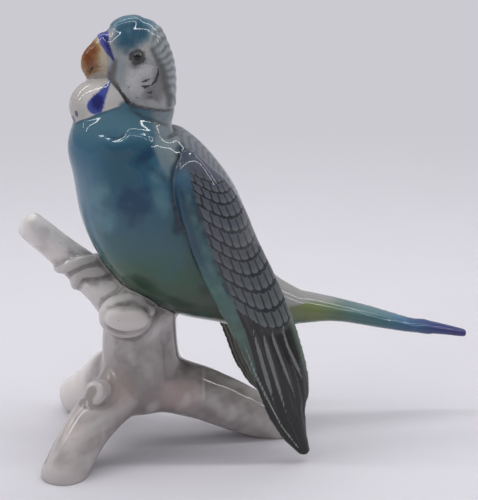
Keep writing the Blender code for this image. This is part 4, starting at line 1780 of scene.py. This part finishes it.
class Painter(Brush):
    """The painter's work under the glaze, coat by coat, its patches sized in millimetres."""

    feathers: Feathering = Feathering()

    def whole_piece(self) -> None:
        """Paints the figurine from the bare clay to the ground soles."""
        self.paint_clay()
        self.paint_body()
        self.paint_head()
        self.paint_bib()
        self.paint_beak()
        self.paint_wing()
        self.paint_tail()
        self.paint_branch()

    def paint_clay(self) -> None:
        """The bare white piece: faint grey clouds and fine specks of iron."""
        self.over("#BDB7B5", self.noise(9.0, 3.0).between(-0.05, 0.22) * 0.5)
        self.over("#8A8582", self.noise(0.9, 0.0).between(0.30, 0.36) * 0.5)

    def paint_body(self) -> None:
        """The airbrushed breast and belly, deep blue over green, the grey mantle, and painted shade in the
        creases.
        """
        up, forward = self.mask("up"), self.mask("forward")
        cloud, fine = self.noise(6.0, 3.0), self.noise(1.3, 2.0)
        stops = {
            10.0: "#444F43", 16.0: "#3C5342", 24.0: "#395847", 33.0: "#395E60", 43.0: "#345C6C",
            52.0: "#305A70", 62.0: "#2D5C74", 70.0: "#326078", 78.0: "#446878",
        }
        self.over(self.ramp(up + cloud * 14, stops), self.mask("wood").between(0.6, -0.6))
        # Painted sheen: the front edge of the breast and belly is painted paler, as where it catches the
        # light.
        self.over("#64849A", (forward + cloud * 8).between(15, 24) * up.between(74, 52) * 0.6)
        self.over("#395F58", self.noise(10.0, 3.0).between(0.0, 0.2) * up.between(66, 40) * 0.5)
        self.over("#1C5064", (self.mask("breast_dark") + cloud * 1.2).between(0.1, 1.0) * 0.8)
        self.over("#053757", (self.mask("breast_navy") + cloud * 1.2).between(0.15, 0.9) * 0.85)
        self.over("#5C8490", (self.mask("breast_pale") + cloud * 1.1).between(0.25, 1.1) * 0.6)
        self.over("#2E4335", (self.mask("moss") + cloud * 0.8).between(0.3, 1.0) * 0.8)
        self.over("#7F8286", self.mask("mantle") * 0.9)
        bars = self.mask("mantle_bars") + self.noise(5.0) * 0.7
        self.over("#4C515B", bars.line(0.08, 0.26) * self.mask("mantle") * 0.45)
        self.over("#76858A", (self.mask("tongue") + cloud * 3).between(0.0, 2.6) * 0.8)
        self.over("#1F3A50", (self.mask("tongue_line") + fine * 2).between(-1.6, 0.9) * 0.6)
        # Painted shade: a dark stroke in the crease where the wing's front edge meets the body.
        self.over("#143348", (self.mask("wing_crease_shade") + cloud * 2).between(-2.6, 0.3) * 0.92)
        self.over("#345A6C", self.noise(2.2, 3.0).between(0.10, 0.26) * 0.3)
        # Painted shade: the creases of the body are darkened.
        self.over("#23282C", self.mask("hollow").between(0.05, 0.22) * 0.7)

    def paint_head(self) -> None:
        """The face: teal crown, barred nape, the eye in its broken ring, and the small cheek marks."""
        cloud, fine = self.noise(4.5, 3.0), self.noise(0.8, 1.0)
        head = self.mask("head").between(-0.8, 0.5)
        self.over("#A1A2A3", head)
        self.over("#858687", head * cloud.between(-0.08, 0.2) * 0.55)
        self.over("#7F8A8E", head * (self.mask("lore") + cloud).between(0.1, 0.9) * 0.8)
        self.over("#6E8791", head * (self.mask("crown") + cloud * 0.5).between(0.0, 0.75))
        self.over("#39657B", head * (self.mask("crown") + cloud * 0.9).between(0.5, 1.15) * 0.8)
        self.over("#1D485E", head * (self.mask("crown_dark") + cloud * 0.9).between(0.15, 0.95) * 0.9)
        # Painted shadow: a soft dark line down the face behind the beak.
        self.over("#4E4F51", head * (self.mask("beak_shadow_line") + cloud).between(-1.6, 0.6) * 0.8)
        nape = self.mask("nape")
        self.over("#8B9396", nape * 0.72)
        self.over("#7D949C", nape * (self.mask("crown") + cloud).between(0.05, 0.8) * 0.75)
        bars = (self.mask("bars") + fine * 0.30 + cloud * 0.25).line(0.08, 0.32)
        self.over("#4F575B", bars * nape * (cloud.between(-0.25, 0.05) * 0.5 + 0.5) * 0.62)
        self.over("#525253", head * (self.mask("cheek_shade") + cloud).between(0.1, 0.9) * 0.65)
        # Pale patches on the cheek; the upper one, on the lobe under the eye, is a painted highlight.
        self.over("#BDBDBE", head * (self.mask("cheek_pale_and_highlight") + fine).between(0.1, 0.9) * 0.6)
        streaks = self.flow(self.mask("bars") * 6, self.mask("eye") * 0.15)
        self.over("#6A6A6C", head * streaks.between(0.06, 0.24) * 0.35)
        self.over("#38393B", (self.mask("cheek_fold") + fine * 0.8).between(-1.6, 0.3) * head * 0.75)
        self.over("#1C1B1F", (self.mask("cheek_marks") + fine * 0.3).between(-0.20, 0.08) * head * 0.95)
        ring = self.mask("eye") + self.noise(1.6, 2.0) * 2.2
        self.over("#2B2C2E", ring.between(3.5, 2.3) * 0.85)
        self.over("#4C4D49", ring.between(2.1, 1.7) * 0.4)
        self.over("#141416", self.mask("eye").between(1.85, 1.45) * 0.6)
        self.over("#050506", self.mask("eye").between(1.65, 1.25))
        self.over("#1F1F22", (self.mask("collar") + fine * 0.6).between(1.0, 0.1) * 0.8)

    def paint_bib(self) -> None:
        """The bib under the beak: white, with a blue teardrop, two violet spots and a dark crease."""
        fine = self.noise(1.0, 2.0)
        throat = self.mask("throat").between(-0.3, 0.4)
        self.over("#C2BFBD", throat)
        # Painted shade: the front of the bib is darkened.
        self.over("#A09B98", throat * self.mask("beak_place").between(17.5, 24.0) * 0.6)
        self.over("#35479A", (self.mask("teardrop") + fine * 0.6).between(-0.35, 0.55) * 0.97)
        self.over("#141A62", (self.mask("teardrop_heart") + fine * 0.6).between(-0.1, 0.6) * 0.95)
        self.over("#4F4A72", (self.mask("bib_dots") + fine * 0.3).between(-0.05, 0.25) * 0.9)
        self.over("#1E1D22", (self.mask("bib_crease") + fine * 0.4).between(-0.45, 0.2) * 0.92)

    def paint_beak(self) -> None:
        """The beak, amber at its front and cream behind, the indigo cere over it, and the dark mouth."""
        fine = self.noise(1.1, 3.0)
        beak = self.mask("beak").between(-0.15, 0.15)
        self.over("#A09079", beak)
        self.over("#B9AD97", beak * (self.mask("beak_place") + fine * 2).between(17.4, 14.0))
        self.over("#A89E97", beak * self.mask("jaw").between(-0.5, 0.6))
        amber = (self.mask("beak_brown") + fine * 0.4).between(0.05, 0.6) * self.mask("jaw").between(
            0.1, -0.8
        )
        self.over("#A07E50", beak * amber * 0.9)
        self.over("#7B431B", beak * (self.mask("beak_brown") + fine * 0.5).between(0.2, 1.05))
        self.over("#4E210C", beak * (self.mask("beak_brown") + fine * 0.5).between(0.7, 1.2) * 0.5)
        # Painted shadow behind the beak, over its back edge.
        self.over("#4A4644", (self.mask("beak_shadow_line") + fine).between(-1.3, 0.6) * 0.6)
        self.over("#6B5F57", (self.mask("mouth") + fine * 0.2).between(-0.25, 0.1) * 0.6)
        slit = (self.mask("mouth") + fine * 0.3).between(-0.35, 0.1)
        self.over("#1E1614", slit * self.mask("beak_place").between(16.6, 17.6) * 0.9)
        cere = (self.mask("cere") + fine * 0.9).between(-0.5, 0.35)
        self.over("#4A5096", cere)
        self.over("#171B58", cere * (self.mask("cere_dark") + fine * 0.5).between(0.1, 0.75) * 0.95)

    def paint_wing(self) -> None:
        """The wing: bluish coverts in dark scallops, a green leading band, and black quills streaked grey."""
        share, drop, row = self.mask("wing_share"), self.mask("wing_drop"), self.mask("wing_row")
        cloud, fine = self.noise(4.0, 3.0), self.noise(0.8, 1.0)
        wing = self.mask("wing").between(-0.35, 0.45)
        stops = {
            0.0: "#495361", 0.12: "#4D505C", 0.22: "#545762",
            0.36: "#505459", 0.50: "#555B5B", 0.60: "#505852",
        }
        self.over(self.ramp(drop + cloud * 0.06, stops), wing)
        self.over("#5F5B70", wing * (share + cloud).between(0.3, -0.5) * drop.between(0.20, 0.08) * 0.6)
        last = len(self.feathers.rows) - 1
        covert = wing * self.mask("wing_band").between(0.06, -0.06) * row.between(last + 0.08, last - 0.02)
        wobble = self.flow(share * 2.1, row * 0.9) * 0.5
        cell = share * self.feathers.cells + row.whole() * 0.5 + wobble
        bow = cell.maths("PINGPONG", 0.5)
        edge = row - bow * 0.20 + 0.04 + wobble * 0.30
        bold = row.between(2.4, 4.6)
        rim = edge.maths("FRACT").between(0.45, 0.88)
        self.over("#6E7478", covert * rim * bold * 0.45)
        self.over("#555B62", covert * edge.maths("FRACT").between(0.30, 0.02) * bold * 0.6)
        breaks = (self.flow(share * 9, row * 1.7) + edge.maths("FRACT") * 0.3).between(-0.16, 0.06)
        self.over("#26292E", covert * cell.line(0.055, 0.12) * breaks * bold * 0.92)
        self.over("#565A66", covert * edge.line(0.03, 0.12) * (bold * -1 + 1) * row.between(0.0, 1.5) * 0.8)
        self.over("#1F2225", covert * (edge + fine * 0.10).line(0.065, 0.075) * bold * 0.94)
        band = wing * self.mask("wing_band").between(-0.08, 0.05) * drop.between(0.05, 0.12)
        stops = {
            0.08: "#3F627C", 0.20: "#2A4A58", 0.30: "#345A60",
            0.42: "#456660", 0.52: "#4A5E54", 0.66: "#353A36",
        }
        self.over(self.ramp(drop + cloud * 0.08, stops), band)
        self.over("#5F7F80", band * cloud.between(-0.1, 0.25) * 0.4)
        lead = (share + cloud * 0.1).between(0.80, 0.93) * drop.between(0.10, 0.17) * drop.between(0.40, 0.30)
        self.over("#1B3A50", band * lead * 0.8)
        seam = self.mask("wing_band").maths("ABSOLUTE").between(0.10, 0.02) * drop.between(0.14, 0.2) * wing
        self.over(
            "#22303A", seam * self.flow(drop * 30, share).between(-0.2, 0.1) * drop.between(0.5, 0.42) * 0.8
        )
        quills = wing * row.between(last - 0.02, last + 0.06) * self.mask("wing_band").between(0.03, -0.03)
        stops = {0.50: "#242426", 0.58: "#1F1F20", 0.70: "#171718", 0.85: "#131314", 1.0: "#111112"}
        self.over(self.ramp(drop, stops), quills)
        self.over("#4B4C4C", quills * self.flow(share * 14, drop * 5).between(0.02, 0.25) * 0.6)
        self.over("#0F0F10", quills * self.mask("wing_slit").line(0.05, 0.10) * 0.7)
        streaks = (self.mask("wing_streaks") + fine * 0.35).between(-0.12, 0.20)
        self.over("#747775", quills * streaks * self.mask("wing_out").between(0.0, 0.2) * 0.95)
        self.over("#5F6F63", quills * share.between(-0.72, -0.92) * drop.between(0.72, 0.6) * 0.9)
        # Painted highlight: a pale line along the wing's lower front edge, where its thickness catches the
        # light.
        rim = (self.mask("wing_rim") + fine * 0.2).between(-0.15, 0.15)
        self.over("#8E988F", wing * rim * drop.between(0.5, 0.56) * 0.85)
        inner = wing * self.mask("wing_out").between(-0.1, -0.5)
        inner = inner * share.maths("ABSOLUTE").between(0.95, 0.80)
        self.over("#6F7268", inner * 0.85)
        self.over("#3F403C", inner * (share * 5.5 + cloud).line(0.12, 0.14) * 0.8)

    def paint_tail(self) -> None:
        """The tail: grey on top, yellow-green at its root, teal and then violet blue towards the tip."""
        forward, top = self.mask("forward"), self.mask("tail_top")
        cloud = self.noise(5.0, 3.0, (3, 1, 1))
        tail = self.mask("tail").between(-1.2, 1.2)
        stops = {
            -124.0: "#37346E", -116.0: "#323A72", -106.0: "#38527A", -98.0: "#385F7C", -90.0: "#40686F",
            -80.0: "#4A6C6E", -72.0: "#586C58", -62.0: "#727E50", -50.0: "#6E7756",
        }
        self.over(self.ramp(forward + cloud * 12, stops), tail)
        self.over("#9A9A9A", tail * (top + cloud * 3).between(2.6, 4.2) * forward.between(-84, -66) * 0.9)
        self.over("#8FA8AE", tail * (top + cloud * 2).between(0.6, 1.9) * forward.between(-60, -86) * 0.3)
        self.over("#365C5A", tail * (top + cloud * 5).between(-2.4, -5.0) * 0.75)
        bright = forward.between(-86, -94) * forward.between(-106, -98)
        self.over("#3B6FA8", tail * cloud.between(0.02, 0.2) * bright * 0.35)
        # Painted shadow: the underside of the tail's root, under the wings, is darkened.
        self.over("#2B4038", tail * forward.between(-58, -51) * top.between(-1.0, -6.0) * 0.8)

    def paint_branch(self) -> None:
        """The branch: white clay, warm grey, painted light and shade, a breath of pink, pale sawn wood, grey
        toes.
        """
        cloud, fine = self.noise(6.0, 3.0), self.noise(1.0, 2.0)
        wood = (self.mask("wood") + fine * 0.5).between(-0.3, 0.3)
        self.over("#B5AFAD", wood)
        # Painted light and shade: the branch is paler high up and darker towards the table, as light falls
        # from above.
        self.over("#EAE5E3", wood * self.mask("height").between(48, 72))
        self.over("#7F7674", wood * self.mask("height").between(50, 24) * 0.72)
        self.over("#9E9896", wood * cloud.between(-0.05, 0.2) * 0.6)
        self.over("#BCA6A2", wood * (self.mask("pink_tone") + cloud).between(0.15, 0.9) * 0.55)
        # Grey toning, partly painted shade under the bird, round the toes and in the fork.
        self.over("#7B7876", wood * (self.mask("grey_tone_and_shade") + cloud * 1.1).between(0.15, 0.95) * 0.85)
        self.over("#5A5857", wood * (self.mask("grey_tone_and_shade") + cloud * 1.6).between(0.7, 1.35) * 0.6)
        # Painted light: the far leg is painted paler.
        self.over("#DED7D4", wood * self.mask("far_leg") * 0.9)
        face = self.mask("stub_face").between(-0.02, 0.10)
        self.over("#4F4D4D", wood * (self.mask("stub_shade") + cloud).between(0.0, 0.7) * 0.75)
        self.over("#CFC5C2", wood * face)
        self.over("#2F2E2E", wood * (self.mask("toe_lines") + fine * 0.8).between(-0.8, 0.4) * 0.8)
        toes = self.mask("toes").between(-0.6, 0.6)
        self.over("#8A8886", wood * toes * 0.6)
        # Painted shade in the creases and a painted highlight along the ridges.
        hollow = self.mask("hollow")
        self.over("#55504E", wood * hollow.between(0.045, 0.16) * 0.4)
        self.over("#DAD5D3", wood * hollow.between(-0.03, -0.12) * 0.5)
        speck = self.noise(0.8, 0.0).between(0.31, 0.37)
        self.over("#6F625A", wood * speck * 0.5)
        # The ground soles show the bare fired body: matt and a little brown, with no glaze.
        self.over("#B8AB9E", self.mask("height").between(0.5, 0.2))


@dataclass(frozen=True)
class GlazedPorcelain:
    """Slip-cast porcelain, painted under a clear glaze and fired: a hard wet gloss over airbrushed colour."""

    roughness: float = 0.045
    ior: float = 1.52
    clay: str = "#CFCBC9"
    glaze_ripple: float = 0.010

    def material(self) -> bpy.types.Material:
        """The material of the whole figurine.

        Returns:
            The material.
        """
        material = bpy.data.materials.new("glazed_porcelain")
        material.use_nodes = True
        tree = material.node_tree
        painter = Painter(tree, self.clay)
        painter.whole_piece()
        glaze = tree.nodes["Principled BSDF"]
        glaze.inputs["IOR"].default_value = self.ior
        tree.links.new(painter.colour, glaze.inputs["Base Color"])
        bare = painter.mask("height").between(0.55, 0.25)
        worn = bare * 0.55 + self.roughness + (painter.noise(4.0) * 0.06).maths("ABSOLUTE")
        tree.links.new(worn.socket, glaze.inputs["Roughness"])
        # Orange peel of the fired glaze: shallow ripples about 2 mm apart that break the lamps' reflections.
        ripple = painter.noise(2.4, 1.0) + painter.noise(0.9, 0.0) * 0.25
        bump = add(
            tree, "ShaderNodeBump", {"Height": ripple, "Distance": self.glaze_ripple * MM, "Strength": 1.0}
        )
        tree.links.new(bump.outputs[0], glaze.inputs["Normal"])
        return material


@dataclass(frozen=True)
class Lamp:
    """An area lamp: its name, where it stands and its sides in metres, and its watts."""

    name: str
    place: tuple[float, float, float]
    sides: tuple[float, float]
    watts: float


@dataclass
class Studio:
    """A pale sweep of paper, two strip lamps over the figurine, soft room light, and the photo's camera."""

    elevation: float = 18.0
    distance: float = 0.630
    lens: float = 120.0
    aim: tuple[float, float, float] = (0.0375, 0.009, 0.074)
    paper: str = "#D2D0D6"
    sweep: str = "#CCCAD1"
    sweep_reach: tuple[float, float] = (0.12, 0.55)
    paper_patch: str = "#D6D4DA"
    room: str = "#DCDBE0"
    room_light: float = 0.46
    lamp_table: tuple[Lamp, ...] = (
        Lamp("strip_overhead", (0.0, -0.05, 1.1), (5.0, 0.045), 10.5),
        Lamp("strip_behind", (0.0, 0.55, 1.0), (5.0, 0.045), 7.0),
        Lamp("soft_overhead", (0.30, 0.18, 1.2), (2.2, 2.0), 8.0),
        Lamp("soft_left", (-1.1, -0.5, 0.8), (0.9, 0.9), 4.0),
    )
    lit_point: tuple[float, float, float] = (0, 0, 0.08)

    def floor(self) -> bpy.types.Object:
        """The pale paper under the figurine.

        Returns:
            The paper.
        """
        bpy.ops.mesh.primitive_plane_add(size=6.0, location=(0, 0, 0))
        floor = bpy.context.object
        floor.name = "floor"
        material = bpy.data.materials.new("floor_paper")
        material.use_nodes = True
        tree = material.node_tree
        paper = tree.nodes["Principled BSDF"]
        paper.inputs["Roughness"].default_value = 0.85
        paper.inputs["Specular IOR Level"].default_value = 0.2
        # The paper's tooth: faint patches a few centimetres across, too weak to show more than an even tone.
        place = add(tree, "ShaderNodeTexCoord").outputs["Object"]
        noise = add(tree, "ShaderNodeTexNoise", {"Vector": place, "Scale": 25.0, "Detail": 2.0})
        tones = {0: noise.outputs["Fac"], 6: linear(self.paper), 7: linear(self.paper_patch)}
        shade = add(tree, "ShaderNodeMix", tones, data_type="RGBA")
        tree.links.new(shade.outputs[2], paper.inputs["Base Color"])
        # The sweep behind is lit evenly: away from the figurine it shows one tone, and near it its shadow.
        even = add(tree, "ShaderNodeEmission", {"Color": linear(self.sweep), "Strength": 1.0})
        reach = add(tree, "ShaderNodeVectorMath", {0: place}, operation="LENGTH")
        away = Signal(tree, reach.outputs["Value"]).between(*self.sweep_reach)
        blend = add(tree, "ShaderNodeMixShader", {0: away, 1: paper.outputs[0], 2: even.outputs[0]})
        tree.links.new(blend.outputs[0], tree.nodes["Material Output"].inputs["Surface"])
        floor.data.materials.append(material)
        return floor

    def lamps(self) -> None:
        """Two strips that run from left to right over the figurine, and two soft lamps for its front."""
        for lamp in self.lamp_table:
            light = bpy.data.lights.new(lamp.name, "AREA")
            light.shape = "RECTANGLE"
            light.size, light.size_y = lamp.sides
            light.energy = lamp.watts
            holder = bpy.data.objects.new(lamp.name, light)
            holder.location = lamp.place
            holder.rotation_mode = "QUATERNION"
            holder.rotation_quaternion = (Vector(self.lit_point) - Vector(lamp.place)).to_track_quat(
                "-Z", "Y"
            )
            # Only the strips show in the glaze, as the photo's thin lines; soft lamps would fog its colours.
            holder.visible_glossy = lamp.name.startswith("strip")
            bpy.context.scene.collection.objects.link(holder)

    def world(self) -> None:
        """The pale room: it lights the figurine softly, and the camera sees it as one even tone."""
        world = bpy.data.worlds.new("room")
        bpy.context.scene.world = world
        world.use_nodes = True
        tree = world.node_tree
        lit = tree.nodes["Background"]
        lit.inputs["Color"].default_value = linear(self.room)
        lit.inputs["Strength"].default_value = self.room_light
        seen = add(tree, "ShaderNodeBackground", {"Color": linear(self.sweep), "Strength": 1.0})
        rays = add(tree, "ShaderNodeLightPath").outputs
        choose = add(
            tree, "ShaderNodeMixShader", {0: rays["Is Camera Ray"], 1: lit.outputs[0], 2: seen.outputs[0]}
        )
        tree.links.new(choose.outputs[0], tree.nodes["World Output"].inputs["Surface"])

    def camera(self, move: Vector) -> None:
        """Sets up the camera.

        Args:
            move: The move from the trunk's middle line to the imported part.
        """
        camera = bpy.data.cameras.new("camera")
        camera.lens = self.lens
        camera.sensor_width = 36.0
        camera.clip_start = 0.01
        rise = math.radians(self.elevation)
        back = Vector((0, -math.cos(rise), math.sin(rise)))
        holder = bpy.data.objects.new("camera", camera)
        holder.location = Vector(self.aim) + move + back * self.distance
        holder.rotation_mode = "QUATERNION"
        holder.rotation_quaternion = (-back).to_track_quat("-Z", "Y")
        bpy.context.scene.collection.objects.link(holder)
        bpy.context.scene.camera = holder
        bpy.context.scene.view_settings.view_transform = "Standard"


def main() -> None:
    """Builds the figurine and the studio round it, and reports each piece."""
    logging.basicConfig(level=logging.INFO, format="%(message)s")
    report = logging.getLogger("figurine")
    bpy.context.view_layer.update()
    casting = Casting()
    piece = casting.build()
    piece.data.materials.append(GlazedPorcelain().material())
    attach(piece, "root")
    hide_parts(NODE)
    report.info("%s: %d faces", piece.name, len(piece.data.polygons))
    studio = Studio()
    studio.floor()
    studio.lamps()
    studio.world()
    studio.camera(Vector(casting.move))


if __name__ == "__main__":
    main()
